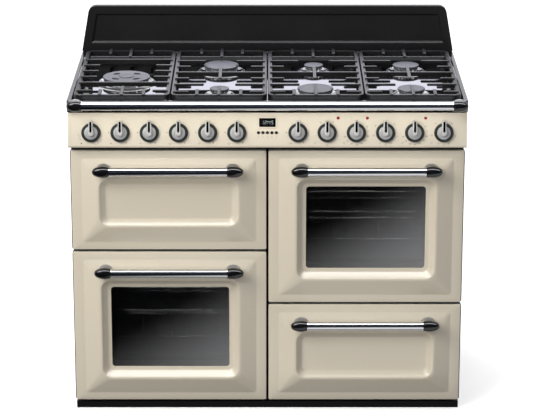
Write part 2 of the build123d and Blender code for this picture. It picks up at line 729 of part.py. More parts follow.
def hob_top():
    """Pressed hob: skirt, raised rim, sunk basin with a hole under each burner, inward bottom flange."""
    low = HOB_HEIGHT - HOB_SKIRT
    mid_y = HOB_FRONT_Y + HOB_DEPTH / 2
    at = Pos(0, mid_y, 0)
    body = plate(WIDTH, HOB_DEPTH, HOB_CORNER, low, HOB_HEIGHT)
    body = fillet(body.faces().sort_by(Axis.Z)[-1].edges(), HOB_EDGE)
    basin_front = RIM_FRONT
    basin_rear = HOB_DEPTH - SPLASH_DEPTH - RIM_FRONT
    basin = (WIDTH - 2 * RIM_SIDE, basin_rear - basin_front, BASIN_CORNER)
    basin_at = Pos(0, (basin_front + basin_rear) / 2 - HOB_DEPTH / 2, 0)
    floor = HOB_HEIGHT - BASIN_DEPTH
    slope = grown(basin, -BASIN_DEPTH / 2)
    cut = basin_at * taper(slope, basin, floor, HOB_HEIGHT)
    inner = (WIDTH - 2 * SHEET, HOB_DEPTH - 2 * SHEET, HOB_CORNER - SHEET)
    hollow = plate(*inner, low + SHEET, HOB_HEIGHT - HOB_EDGE)
    hollow += plate(*grown(inner, -HOB_RETURN), low, low + SHEET)
    hollow -= basin_at * taper(grown(slope, SHEET), grown(basin, SHEET), floor - SHEET, HOB_HEIGHT)
    hob = at * (body - cut - hollow)
    for x, row, cap in burners():
        hob -= Pos(x, HOB_FRONT_Y + row, floor - SHEET) * Cylinder(cap / 2 - PORT_WIDTH, SHEET, align=MIN_Z)
    return hob


def burners():
    """Place and cap diameter of the seven burners: (x, distance behind the hob's front edge, cap)."""
    near = GRATE_PITCH / 2
    far = 3 * GRATE_PITCH / 2
    return [(-far, ROW_WOK, CAP_WOK), (-near, ROW_REAR, CAP_RAPID), (-near, ROW_FRONT, CAP_SIMMER),
            (near, ROW_REAR, CAP_SIMMER), (near, ROW_FRONT, CAP_RAPID),
            (far, ROW_REAR, CAP_MEDIUM), (far, ROW_FRONT, CAP_MEDIUM)]


def burner_base(cap):
    """Bowl that sits on the hob floor, its body hanging through the hole."""
    radius = cap / 2
    body = radius - PORT_WIDTH - SLIDE_CLEARANCE
    outline = Polyline((0, -BURNER_BODY), (body, -BURNER_BODY), (body, 0), (radius + BURNER_FLANGE, 0),
                       (radius + BURNER_FLANGE / 2, BURNER_BASE), (0, BURNER_BASE), close=True)
    return revolve(make_face(Plane.XZ * outline), Axis.Z)


def burner_crown(cap, ports):
    """Flame ring with radial ports cut through its wall."""
    outer = cap / 2 - PORT_WIDTH
    ring = Cylinder(outer, BURNER_CROWN, align=MIN_Z)
    for i in range(ports):
        turn = Rot(0, 0, 360 * i / ports)
        ring -= turn * slab(outer - 2 * PORT_WIDTH, outer + PORT_WIDTH, -PORT_WIDTH / 2, PORT_WIDTH / 2,
                            BURNER_CROWN / 2, BURNER_CROWN)
    return Pos(0, 0, BURNER_BASE) * ring


def burner_cap(radius, hole=0.0):
    """Round cap with a softened rim; the wok burner's ring has a hole for its core."""
    low = BURNER_BASE + BURNER_CROWN
    cap = Pos(0, 0, low) * Cylinder(radius, BURNER_CAP, align=MIN_Z)
    if hole:
        cap -= rod(hole, low, low + BURNER_CAP)
    top = cap.faces().sort_by(Axis.Z)[-1]
    return chamfer(top.edges(), BURNER_CAP / 2)


def spark_electrode(cap):
    """White ceramic pin beside the crown."""
    pin = rod(ELECTRODE_RADIUS, BURNER_BASE, BURNER_BASE + BURNER_CROWN)
    return Pos(0, -(cap / 2 + ELECTRODE_OFFSET), 0) * pin


def finger(length):
    """Cast finger along +x: level top, rounded nose, underside that rises towards the nose."""
    tip = FINGER_DEPTH / 2
    outline = Polyline((0, 0), (length - tip / 2, 0)) + ThreePointArc(
        (length - tip / 2, 0), (length, -tip / 2), (length - tip / 2, -tip))
    outline += Polyline((length - tip / 2, -tip), (length / 2, -tip), (0, -FINGER_DEPTH), (0, 0))
    side = make_face(Plane.XZ * outline)
    return extrude(side, FINGER_WIDTH / 2, both=True)


def pan_support(x, wok):
    """Cast-iron grate: rounded frame on four feet, cross bars and fingers that stand proud of the frame."""
    width = GRATE_PITCH - GRATE_GAP
    top = HOB_HEIGHT + GRATE_TOP - FINGER_RISE
    floor = HOB_HEIGHT - BASIN_DEPTH
    size = (width, GRATE_LENGTH, GRATE_CORNER)
    mid_y = HOB_FRONT_Y + GRATE_FRONT + GRATE_LENGTH / 2
    ring = plate(*size, top - GRATE_DEPTH, top) - plate(*grown(size, -GRATE_BAR), top - GRATE_DEPTH, top)
    edge_x = width / 2 - GRATE_BAR / 2
    sole = (GRATE_BAR - GRATE_FOOT_SLIM, GRATE_FOOT_LENGTH, GRATE_FOOT_SLIM)
    head = (GRATE_BAR, GRATE_FOOT_LENGTH + GRATE_FOOT_FLARE, GRATE_FOOT_SLIM)
    foot = taper(sole, head, 0, top - GRATE_DEPTH / 2 - floor)
    end_y = GRATE_LENGTH / 2 - GRATE_FOOT_AT
    castings = [Pos(x + side_x, mid_y + y, floor) * foot
                for side_x in (-edge_x, edge_x) for y in (-end_y, end_y)]
    level = HOB_HEIGHT + GRATE_TOP
    bar = slab(-edge_x, edge_x, -FINGER_WIDTH / 2, FINGER_WIDTH / 2, -FINGER_DEPTH, 0)
    if wok:
        bars = (ROW_FRONT + WOK_BAR_STEPS[0], ROW_REAR + WOK_BAR_STEPS[1])
        fingers = [(WOK_FRONT_FINGER, OUTER_FINGER)]
        fingers += [(ROW_WOK + step, WOK_FINGER) for step in WOK_FINGER_STEPS]
    else:
        bars = (ROW_WOK,)
        fingers = [(ROW_FRONT - FRONT_FINGER_STEP, OUTER_FINGER), (ROW_FRONT, BURNER_FINGER),
                   (ROW_FRONT + INNER_FINGER_STEP, SHORT_FINGER),
                   (ROW_REAR - INNER_FINGER_STEP, SHORT_FINGER), (ROW_REAR, BURNER_FINGER)]
        middle = Pos(x, HOB_FRONT_Y + ROW_WOK, level)
        castings += [middle * Rot(0, 0, turn) * finger(CROSS_FINGER) for turn in (90, -90)]
    castings += [Pos(x, HOB_FRONT_Y + row, level) * bar for row in bars]
    for row, length in fingers:
        for turn in (0, 180):
            place = Pos(x, HOB_FRONT_Y + row, level) * Rot(0, 0, turn) * Pos(-edge_x, 0, 0)
            castings.append(place * finger(length))
    inner = GRATE_LENGTH / 2 - GRATE_BAR
    for offset in (-FINGER_SPREAD, 0, FINGER_SPREAD):
        reach = CENTRE_FINGER if offset == 0 else OUTER_FINGER
        for y, turn in ((-inner, 90), (inner, -90)):
            place = Pos(x + offset, mid_y + y, level) * Rot(0, 0, turn)
            castings.append(place * finger(reach))
            castings.append(place * Rot(0, 0, 180) * finger(FINGER_OVERHANG))
    return Pos(x, mid_y, 0) * ring + castings


def splashback():
    """Tapered upstand: a pan open at the back with a raised pressed field."""
    half = WIDTH / 2
    top_half = half - SPLASH_TAPER
    corners = [(-half, 0), (half, 0), (top_half, SPLASH_HEIGHT), (-top_half, SPLASH_HEIGHT)]
    outline = make_face(Polyline(*corners, close=True))
    outline = fillet(outline.vertices().group_by(Axis.Y)[-1], SPLASH_CORNER)
    field_low = offset(outline, -FIELD_INSET)
    field_high = offset(outline, -FIELD_INSET - FIELD_SLOPE)
    depth = SPLASH_DEPTH - FIELD_RISE
    upstand = extrude(outline, depth)
    upstand += loft([Pos(0, 0, depth) * field_low, Pos(0, 0, SPLASH_DEPTH) * field_high], ruled=True)
    upstand -= extrude(offset(outline, -SHEET), depth - SHEET)
    at = Plane(origin=(0, REAR_Y, HOB_HEIGHT), x_dir=(1, 0, 0), z_dir=(0, -1, 0))
    return at * upstand


# Control panel and controls

def control_panel():
    """Leaning sheet fascia with a rolled lower lip, closed ends and holes for every control."""
    top = PANEL_TOP
    top_y = panel_point_y(top)
    low_y = panel_point_y(PANEL_BOTTOM)
    corners = [(low_y, PANEL_BOTTOM), (top_y, top), (FRAME_Y, top), (FRAME_Y, PANEL_BOTTOM)]
    outline = make_face(Polyline(*corners, close=True))
    lip = outline.vertices().sort_by_distance((low_y, PANEL_BOTTOM, 0))[0]
    outline = fillet(lip, PANEL_LIP_RADIUS)
    inner = offset(outline, -SHEET)
    half = PANEL_WIDTH / 2
    at = Plane(origin=(-half, 0, 0), x_dir=(0, 1, 0), z_dir=(1, 0, 0))
    panel = extrude(at * outline, PANEL_WIDTH)
    inner_half = half - SHEET
    panel -= extrude(at * inner, PANEL_WIDTH) & slab(-inner_half, inner_half, -REAR_Y, REAR_Y, 0, HOB_HEIGHT)
    panel -= slab(-half + SHEET, half - SHEET, FRAME_Y - SHEET, FRAME_Y, PANEL_BOTTOM + SHEET, top - SHEET)
    for x in knob_places():
        panel -= panel_plane(x, KNOB_HEIGHT) * rod(SPINDLE_HOLE, -2 * SHEET, SHEET)
    centre = panel_plane(0, KNOB_HEIGHT)
    panel -= centre * Pos(0, CLOCK_UP, 0) * plate(CLOCK_WIDTH, CLOCK_HEIGHT, SKIN, -2 * SHEET, SHEET)
    for x in button_places():
        panel -= centre * Pos(x, 0, 0) * rod(BUTTON_RADIUS + 2 * PIN_CLEARANCE, -2 * SHEET, SHEET)
    for x in lamp_places():
        panel -= panel_plane(x, KNOB_HEIGHT) * Pos(LAMP_X, LAMP_UP, 0) * rod(LAMP_RADIUS, -2 * SHEET, SHEET)
    return panel


def knob_places():
    """X of the twelve knobs, left to right."""
    right = [KNOB_FIRST_X + i * KNOB_PITCH for i in range(KNOBS_PER_SIDE)]
    return [-x for x in reversed(right)] + right


def lamp_places():
    """X of the knobs that have an indicator lamp."""
    return [knob_places()[number - 1] for number in LAMP_KNOBS]


def button_places():
    """X of the clock buttons."""
    return [(i - (BUTTON_COUNT - 1) / 2) * BUTTON_PITCH for i in range(BUTTON_COUNT)]


def drop_plan(slim):
    """Outline of the lever: a drop from the root circle to the tip circle, drawn in by slim."""
    tip = Pos(0, LEVER_TOP - LEVER_TIP_RADIUS) * Circle(LEVER_TIP_RADIUS - slim)
    return make_hull((Circle(LEVER_ROOT_RADIUS - slim) + tip).edges())


def knob():
    """Control knob: chamfered skirt, raised disc, teardrop lever and a spindle that turns in the control."""
    skirt_top = KNOB_GAP + KNOB_SKIRT
    disc_top = skirt_top + KNOB_DISC
    chamfer_size = KNOB_DISC / 2
    outline = Polyline((0, KNOB_GAP), (KNOB_RADIUS, KNOB_GAP), (KNOB_RADIUS, skirt_top - chamfer_size),
                       (KNOB_RADIUS - chamfer_size, skirt_top), (KNOB_DISC_RADIUS, skirt_top),
                       (KNOB_DISC_RADIUS - chamfer_size, disc_top), (0, disc_top), close=True)
    body = revolve(make_face(Plane.XZ * outline), Axis.Z)
    foot_plan = drop_plan(0)
    waist = skirt_top + LEVER_RISE / 2
    body += extrude(Pos(0, 0, skirt_top) * foot_plan, LEVER_RISE / 2)
    body += loft([Pos(0, 0, waist) * foot_plan, Pos(0, 0, skirt_top + LEVER_RISE) * drop_plan(LEVER_SLIM)],
                 ruled=True)
    return body + rod(SPINDLE_RADIUS, -SPINDLE_LENGTH, KNOB_GAP)


def bored_body(radius, length):
    """Round control body behind the panel, bored for the knob's spindle."""
    body = rod(radius, -SHEET - length, -SHEET)
    return body - rod(SPINDLE_RADIUS + PIN_CLEARANCE, -SPINDLE_LENGTH - SHEET, -SHEET)


def gas_rail():
    """Square gas rail behind the taps, the pipe along the left side and the threaded inlet at the back."""
    half = GAS_RAIL_SIZE / 2
    depth = -SHEET - TAP_LENGTH - half
    right = knob_places()[GAS_KNOBS - 1] + TAP_RADIUS
    at = panel_plane(0, KNOB_HEIGHT)
    rail = at * slab(INLET_X - half, right, -half, half, depth - half, depth + half)
    start_y = (at * Pos(INLET_X, 0, depth)).position.Y
    z = gas_rail_z()
    pipe = rod_between((INLET_X, start_y, z), (INLET_X, REAR_Y - INLET_LENGTH, z), PIPE_RADIUS)
    inlet = rod_between((INLET_X, REAR_Y - INLET_LENGTH, z), (INLET_X, REAR_Y, z), INLET_RADIUS)
    return [rail, pipe - rail, inlet]


def clock():
    """Clock: bezel on the panel, window glass, and the housing behind with a guide for each button."""
    at = panel_plane(0, KNOB_HEIGHT)
    window_at = Pos(0, CLOCK_UP, 0)
    glass = window_at * plate(CLOCK_WIDTH, CLOCK_HEIGHT, SKIN, -SHEET, SHEET / 2)
    outer = (CLOCK_WIDTH + 2 * CLOCK_BEZEL, CLOCK_HEIGHT + 2 * CLOCK_BEZEL, CLOCK_BEZEL)
    bezel = window_at * (taper(outer, grown(outer, -CLOCK_BEZEL / 2), 0, SHEET)
                         - plate(CLOCK_WIDTH, CLOCK_HEIGHT, SKIN, 0, SHEET))
    housing = Pos(0, CLOCK_UP / 2, 0) * plate(CLOCK_BODY_WIDTH, CLOCK_BODY_HEIGHT, CLOCK_BEZEL,
                                              -SHEET - CLOCK_BODY_DEPTH, -SHEET)
    well = COLLAR_THICKNESS + BUTTON_TRAVEL + 3 * SLIDE_CLEARANCE
    for x in button_places():
        housing -= Pos(x, 0, 0) * rod(COLLAR_RADIUS + SLIDE_CLEARANCE, -SHEET - well, -SHEET)
        bottom = -SHEET - STEM_LENGTH - BUTTON_TRAVEL - SHEET
        housing -= Pos(x, 0, 0) * rod(STEM_RADIUS + PIN_CLEARANCE, bottom, -SHEET)
    return [at * piece for piece in (glass, bezel, housing)]


def clock_button():
    """Push button: domed cap, retaining collar behind the panel and guide stem."""
    collar_top = -SHEET - SLIDE_CLEARANCE
    collar_low = collar_top - COLLAR_THICKNESS
    stem_low = -SHEET - STEM_LENGTH
    outline = Polyline((0, stem_low), (STEM_RADIUS, stem_low), (STEM_RADIUS, collar_low),
                       (COLLAR_RADIUS, collar_low), (COLLAR_RADIUS, collar_top), (BUTTON_RADIUS, collar_top),
                       (BUTTON_RADIUS, BUTTON_STAND - SKIN / 2), (BUTTON_RADIUS - SKIN, BUTTON_STAND),
                       (0, BUTTON_STAND), close=True)
    return revolve(make_face(Plane.XZ * outline), Axis.Z)


def indicator_lamp():
    """Red lens with a domed head and a collar behind the panel."""
    collar = LAMP_RADIUS + SKIN
    low = -4 * SHEET
    outline = Polyline((0, low), (collar, low), (collar, -SHEET), (LAMP_RADIUS, -SHEET), (LAMP_RADIUS, 0),
                       (LAMP_RADIUS - SKIN / 2, SKIN), (0, SHEET), close=True)
    return revolve(make_face(Plane.XZ * outline), Axis.Z)


def front_rail():
    """Chrome rail along the hob's front edge with black ends that stand on the skirt."""
    axis = (0, HOB_FRONT_Y - RAIL_OFFSET, HOB_HEIGHT - RAIL_DROP)
    at = Plane(origin=axis, x_dir=(1, 0, 0), z_dir=(0, -1, 0))
    return [at * piece for piece in rail_set(RAIL_BAR, RAIL_END, RAIL_OFFSET)]


def main():
    os.makedirs("parts", exist_ok=True)
    build_door("grill_door", -COLUMN_X, GRILL_BOTTOM, SHORT_HEIGHT, False)
    build_door("main_oven_door", -COLUMN_X, DOOR_BOTTOM, TALL_HEIGHT, True)
    build_door("second_oven_door", COLUMN_X, SECOND_BOTTOM, TALL_HEIGHT, True)
    build_drawer()
    save(group(drawer_runners()), "drawer_runners")
    save(group(front_frame()), "front_frame")
    hinge_places = [(x + side * HINGE_X, bottom) for x, bottom, _ in OVENS.values() for side in (-1, 1)]
    save(group([hinge_bracket(x, bottom) for x, bottom in hinge_places]), "door_hinges")
    save(group([door_seal(*oven) for oven in OVENS.values()]), "door_seals")
    for name, oven in OVENS.items():
        save(oven_cavity(*oven), f"{name}_cavity")
    racks = [wire_rack(x, level)
             for x, bottom, height in OVENS.values() for level in oven_levels(bottom, height)]
    save(group(racks), "wire_racks")
    elements = [sheath_element(x, mouth(bottom, height)[1] - ELEMENT_DROP, loops)
                for (x, bottom, height), loops in zip(OVENS.values(), ELEMENT_LOOPS)]
    save(group(elements), "heating_elements")
    save(group(side_panels()), "side_panels")
    save(back_panel(), "back_panel")
    save(base_tray(), "base_tray")
    save(plinth(), "plinth")
    feet_x = BODY_WIDTH / 2 - FEET_SIDE
    feet = [levelling_foot(x, y)
            for x in (-feet_x, feet_x) for y in (FRAME_Y + FEET_INSET, REAR_Y - FEET_INSET)]
    save(group(feet), "levelling_feet")
    save(hob_top(), "hob_top")
    save(splashback(), "splashback")
    save(control_panel(), "control_panel")
    save(group(front_rail()), "front_rail")
    floor = HOB_HEIGHT - BASIN_DEPTH
    places = [(Pos(x, HOB_FRONT_Y + row, floor), cap) for x, row, cap in burners()]
    electrodes = [at * spark_electrode(cap) for at, cap in places]
    save(group([at * burner_base(cap) for at, cap in places] + electrodes), "burner_bases")
    save(group([at * burner_crown(cap, PORT_COUNT) for at, cap in places]), "burner_crowns")
    wok_place, wok_cap = places[0]
    wok_ring = burner_cap(wok_cap / 2, WOK_CORE / 2 + PORT_WIDTH)
    caps = [wok_place * wok_ring, wok_place * burner_cap(WOK_CORE / 2)]
    caps += [at * burner_cap(cap / 2) for at, cap in places[1:]]
    save(group(caps), "burner_caps")
    knob_form = knob()
    for number, x in enumerate(knob_places(), 1):
        save(panel_plane(x, KNOB_HEIGHT) * knob_form, f"knob_{number}")
    taps = [panel_plane(x, KNOB_HEIGHT) * bored_body(TAP_RADIUS, TAP_LENGTH)
            for x in knob_places()[:GAS_KNOBS]]
    save(group(taps + gas_rail()), "gas_taps")
    controls = [panel_plane(x, KNOB_HEIGHT) * bored_body(CONTROL_RADIUS, CONTROL_LENGTH)
                for x in knob_places()[GAS_KNOBS:]]
    save(group(controls), "oven_controls")
    save(group(clock()), "clock")
    for number, x in enumerate(button_places(), 1):
        save(panel_plane(0, KNOB_HEIGHT) * Pos(x, 0, 0) * clock_button(), f"clock_button_{number}")
    lamps = [panel_plane(x, KNOB_HEIGHT) * Pos(LAMP_X, LAMP_UP, 0) * indicator_lamp() for x in lamp_places()]
    save(group(lamps), "indicator_lamps")
    for name, place in GRATES.items():
        save(pan_support(place * GRATE_PITCH, name == "left"), f"pan_support_{name}")


main()
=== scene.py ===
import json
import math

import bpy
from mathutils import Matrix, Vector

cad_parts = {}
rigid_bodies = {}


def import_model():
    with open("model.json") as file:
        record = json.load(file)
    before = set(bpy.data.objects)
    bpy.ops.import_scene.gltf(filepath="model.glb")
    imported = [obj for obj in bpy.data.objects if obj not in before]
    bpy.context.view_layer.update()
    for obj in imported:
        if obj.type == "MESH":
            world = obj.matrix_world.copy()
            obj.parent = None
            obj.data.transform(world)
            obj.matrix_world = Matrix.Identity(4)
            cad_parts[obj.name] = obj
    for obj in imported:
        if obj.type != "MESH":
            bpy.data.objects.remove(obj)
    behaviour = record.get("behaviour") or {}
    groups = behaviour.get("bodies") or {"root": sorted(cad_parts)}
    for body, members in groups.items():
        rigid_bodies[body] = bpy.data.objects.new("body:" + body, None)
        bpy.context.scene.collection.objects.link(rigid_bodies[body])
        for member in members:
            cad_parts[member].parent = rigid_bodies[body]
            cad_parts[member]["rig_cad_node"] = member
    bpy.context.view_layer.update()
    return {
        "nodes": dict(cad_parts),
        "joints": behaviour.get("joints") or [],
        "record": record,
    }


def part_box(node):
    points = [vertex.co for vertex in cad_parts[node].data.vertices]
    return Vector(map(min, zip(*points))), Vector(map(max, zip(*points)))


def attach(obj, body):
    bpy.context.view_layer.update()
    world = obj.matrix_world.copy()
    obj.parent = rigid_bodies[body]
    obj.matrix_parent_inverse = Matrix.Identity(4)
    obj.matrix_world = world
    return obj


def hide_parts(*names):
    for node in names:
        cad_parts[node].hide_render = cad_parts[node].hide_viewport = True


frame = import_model()

# %% [markdown]
# # A wide range cooker
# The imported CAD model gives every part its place, its size and its joint. This lesson dresses that
# frame: it remodels what the eye lands on, and gives each part the finish of the real cooker.
# The front faces -Y, up is +Z, and Blender works in metres, so a size in millimetres is times MM.

MM = 0.001
nodes = frame["nodes"]

# %% [markdown]
# ## Finishes
# A finish is a small tree of shader nodes. Shaders reckon in linear light, while colours are given as sRGB,
# so one function turns the one into the other. A second adds a node with its options and links, which keeps
# every tree as short as the list of its nodes.


# %% Finishes: colours and nodes
def linear(hex_colour):
    """The linear colour that a shader expects, from an sRGB hex colour."""
    parts = [int(hex_colour[i:i + 2], 16) / 255 for i in (1, 3, 5)]
    return [c / 12.92 if c < 0.04045 else ((c + 0.055) / 1.055) ** 2.4 for c in parts] + [1.0]


def add_node(tree, kind, sockets, **settings):
    """Add one shader node, set its options, and give each socket a value or a link."""
    node = tree.nodes.new(kind)
    for key, value in settings.items():
        setattr(node, key, value)
    for key, value in sockets.items():
        if isinstance(value, bpy.types.NodeSocket):
            tree.links.new(value, node.inputs[key])
        else:
            node.inputs[key].default_value = value
    return node


CREAM = "#DFD7C5"
print("cream in linear light:", [round(part, 3) for part in linear(CREAM)])

# %% [markdown]
# Every tree starts from the Object coordinate, which is the place in metres, so that a grain of so
# many millimetres keeps that size on every part. A noise of that grain moves the colour between two
# close tones, moves the gloss a little, and lifts the skin: that is what makes enamel look fired, iron
# look cast and chrome look plated. Where a surface has crystals or speckles, cells replace the noise.

# %% Finishes: one tree for all
GLOSS_SWING = 0.2


def blank_material(name):
    """A new material with an empty tree."""
    material = bpy.data.materials.new(name)
    material.use_nodes = True
    material.node_tree.nodes.clear()
    return material


def finish(name, light, dark, grain, rough, lift, stretch=(1, 1, 1), spots=False, **surface):
    """A finish from two tones, a grain and a lift in mm, and a roughness; stretch draws the grain out."""
    material = blank_material(name)
    tree = material.node_tree
    place = add_node(tree, "ShaderNodeTexCoord", {})
    drawn = add_node(tree, "ShaderNodeMapping", {"Vector": place.outputs["Object"], "Scale": stretch})
    pattern = {"Vector": drawn.outputs["Vector"], "Scale": 1 / (grain * MM)}
    if spots:
        cells = add_node(tree, "ShaderNodeTexVoronoi", pattern)
        grey = cells.outputs["Color"]
        height = cells.outputs["Distance"]
    else:
        noise = add_node(tree, "ShaderNodeTexNoise", {**pattern, "Detail": 3})
        grey = noise.outputs["Fac"]
        height = noise.outputs["Fac"]
    # inputs 6 and 7 of a Mix node are its two colours, and output 2 is the mixed one
    tone = add_node(tree, "ShaderNodeMix", {0: grey, 6: linear(dark), 7: linear(light)}, data_type="RGBA")
    gloss = add_node(tree, "ShaderNodeMapRange", {"Value": height, "To Min": rough * (1 - GLOSS_SWING),
                                                  "To Max": rough * (1 + GLOSS_SWING)})
    skin = add_node(tree, "ShaderNodeBump", {"Height": height, "Distance": lift * MM, "Strength": 1.0})
    sockets = {"Base Color": tone.outputs[2], "Roughness": gloss.outputs["Result"],
               "Normal": skin.outputs["Normal"]}
    sockets.update({key.replace("_", " "): value for key, value in surface.items()})
    shader = add_node(tree, "ShaderNodeBsdfPrincipled", sockets)
    add_node(tree, "ShaderNodeOutputMaterial", {"Surface": shader.outputs["BSDF"]})
    return material


print("the gloss of a finish swings by", GLOSS_SWING, "of its roughness")

# %% [markdown]
# The finishes are kept under the names of the record's material slots, so a part and its finish find
# each other by that name. Each line gives the two tones, the grain in mm, the roughness and the lift
# of the skin in mm. Anything finer than half a millimetre wouldn't show, so such grain is drawn coarser.

# %% Finishes: the list
FINISHES = {
    # glass fired on pressed steel: an even, deep cream with a faint orange-peel gloss
    "cream_enamel": finish("cream_vitreous_enamel", CREAM, "#D8CFBC", 4, 0.2, 0.006,
                           Coat_Weight=0.3, Coat_Roughness=0.08),
    # the same fired glass in black, flowed level: a mirror that shows the burners a second time
    "black_enamel": finish("black_gloss_enamel", "#0C0C0E", "#070708", 9, 0.045, 0.002,
                           IOR=1.7, Coat_Weight=1.0, Coat_Roughness=0.03, Coat_IOR=1.6),
    # oven lining: dark enamel whose grey speckles keep a dim hollow from looking flat
    "cavity_enamel": finish("speckled_oven_enamel", "#3A3A3E", "#141416", 1.4, 0.3, 0.01, spots=True),
    # paint baked on plain sheet: a nearly dull black that steps back behind the fronts
    "coated_sheet": finish("black_painted_sheet", "#141416", "#0E0E10", 1.5, 0.42, 0.02,
                           Specular_IOR_Level=0.25),
    # zinc-dipped sheet of the back and tray: crystals that change from grey to grey
    "galvanised_sheet": finish("galvanised_steel", "#AEB2B5", "#9CA1A5", 9, 0.38, 0.0, spots=True,
                               Metallic=0.9),
    # buffed plating of the handle bars: all mirror, in clear bands of the room
    "chrome": finish("polished_chrome", "#E4E5E8", "#D9DADD", 6, 0.06, 0.0005, Metallic=1.0),
    # plated wire of the racks: the same metal over drawn wire, with softer glints
    "chromed_wire": finish("chromed_wire", "#CDCFD2", "#B5B7BA", 3, 0.16, 0.002, Metallic=1.0),
    # brushed disc of the knobs: fine lines, drawn coarser than life, that spread the light
    "satin_knob": finish("satin_chrome", "#C6C7C8", "#B2B3B4", 0.5, 0.34, 0.002, stretch=(1, 1, 0.06),
                         Metallic=0.35),
    # sand-cast iron under thin enamel: a pebbled black with wide, soft glints
    "cast_iron": finish("enamelled_cast_iron", "#18181A", "#0D0D0E", 1.6, 0.33, 0.05),
    # die-cast burner bodies: a dull silver without clear images
    "burner_alloy": finish("cast_aluminium", "#A3A4A6", "#7F8083", 1.0, 0.38, 0.02, Metallic=0.9),
    # burner caps, dyed grey and satin: they only lighten where they face the lamps
    "cap_enamel": finish("satin_anodised_aluminium", "#5E5E66", "#54545C", 0.8, 0.42, 0.006, Metallic=0.45),
    # tinted toughened glass: it mirrors the room, and lets the racks show faintly
    "dark_glass": finish("tinted_toughened_glass", "#A6A8AC", "#9C9EA2", 60, 0.03, 0.0,
                         Transmission_Weight=1.0, IOR=1.8,
                         Coat_Weight=1.0, Coat_IOR=1.9, Coat_Roughness=0.02),
    # woven glass fibre of the door seals: a soft dark rope without shine
    "seal": finish("woven_glass_fibre", "#3A3936", "#201F1E", 1.6, 0.8, 0.3),
    # turned brass of the gas fittings: a warm, clean metal
    "brass": finish("machined_brass", "#C9A45A", "#B08C45", 0.8, 0.25, 0.005, Metallic=1.0),
    # moulded cases of the switches: a plain, dull cream
    "control_body": finish("moulded_cream_phenolic", "#BDB8AA", "#B1AC9E", 1.5, 0.5, 0.02),
    # gloss black mouldings of the handle ends and the clock: one sharp line of light
    "clock_plastic": finish("gloss_black_phenolic", "#121213", "#0B0B0C", 5, 0.09, 0.002,
                            Coat_Weight=0.4, Coat_Roughness=0.04),
    # satin black mouldings: the same black with a broad, weak light
    "button_plastic": finish("satin_black_abs", "#1C1E1D", "#131514", 1, 0.28, 0.006),
    # clear red mouldings: a small red that glows a little, as if lit from behind
    "red_lens": finish("moulded_red_acrylic", "#C01410", "#A40E0C", 2, 0.08, 0.002, Transmission_Weight=0.25,
                       Emission_Color=linear("#8C0A06"), Emission_Strength=0.25),
    # steel tube of the elements, blued by heat: a brown-grey metal
    "element_sheath": finish("blued_steel", "#5C5450", "#3E3A3C", 3, 0.35, 0.01, Metallic=0.9),
}
SLOTS = {part["node"]: part["material_slot"] for part in frame["record"]["subparts"]}
for node, slot in SLOTS.items():
    surface = nodes[node].data.materials
    surface.clear()
    surface.append(FINISHES[slot])
print(len(FINISHES), "finishes on", len(SLOTS), "CAD parts")

# %% [markdown]
# ## The stage
# The photograph is a studio picture: a white sweep behind, a dark room behind the camera, and large
# soft lamps above. Chrome and black enamel only look right when they have both to mirror. The floor is
# a plain plane that only the camera and the shadows meet. What the cooker mirrors from below comes
# from cards, so that it can be set without changing the floor in the picture.

# %% Floor
FLOOR_SIZE = 60
bpy.ops.mesh.primitive_plane_add(size=FLOOR_SIZE)
floor = bpy.context.object
floor.name = "floor"
# matt studio paper: an even pale ground that holds a soft shadow
floor.data.materials.append(finish("matt_studio_paper", "#F2F1EF", "#EEEDEB", 300, 0.7, 0.0,
                                   Emission_Color=linear("#FFFFFF"), Emission_Strength=0.45))
for ray in ("diffuse", "glossy", "transmission"):
    setattr(floor, "visible_" + ray, False)
print("floor of", FLOOR_SIZE, "metres")

# %% [markdown]
# The world is white behind and overhead, and slate in front. Its own coordinate is a direction, so Y
# tells front from back and Z tells how high one looks.

# %% World
BEHIND = (-0.25, 0.1)
OVERHEAD = (0.88, 0.94)
SKY_STRENGTH = 0.7
world = bpy.data.worlds.new("studio")
bpy.context.scene.world = world
world.use_nodes = True
sky = world.node_tree
sky.nodes.clear()
way = add_node(sky, "ShaderNodeTexCoord", {})
axes = add_node(sky, "ShaderNodeSeparateXYZ", {"Vector": way.outputs["Generated"]})
sweep = add_node(sky, "ShaderNodeMapRange",
                 {"Value": axes.outputs["Y"], "From Min": BEHIND[0], "From Max": BEHIND[1]},
                 interpolation_type="SMOOTHSTEP")
above = add_node(sky, "ShaderNodeMapRange",
                 {"Value": axes.outputs["Z"], "From Min": OVERHEAD[0], "From Max": OVERHEAD[1]},
                 interpolation_type="SMOOTHSTEP")
both = add_node(sky, "ShaderNodeMath", {0: sweep.outputs["Result"], 1: above.outputs["Result"]},
                operation="MAXIMUM")
shade = add_node(sky, "ShaderNodeMix", {0: both.outputs[0], 6: linear("#3E444C"), 7: linear("#F4F4FA")},
                 data_type="RGBA")
light = add_node(sky, "ShaderNodeBackground", {"Color": shade.outputs[2], "Strength": SKY_STRENGTH})
add_node(sky, "ShaderNodeOutputWorld", {"Surface": light.outputs["Background"]})
print("world of", len(sky.nodes), "nodes")

# %% [markdown]
# Three soft boxes light the set: the key from the upper left, a weak fill from below the camera, and
# one over the sweep that keeps the background white. Area lamps give soft shadows for their size.


# %% Lamps
def lamp(name, place, aim, size, power, colour):
    """A soft box, size wide and high in metres, that points from its place to its aim."""
    bpy.ops.object.light_add(type="AREA", location=place)
    box = bpy.context.object
    box.name = name
    box.rotation_euler = (Vector(aim) - Vector(place)).to_track_quat("-Z", "Y").to_euler()
    box.data.shape = "RECTANGLE"
    box.data.size, box.data.size_y = size
    box.data.energy = power
    box.data.color = linear(colour)[:3]
    box.visible_camera = False
    return box


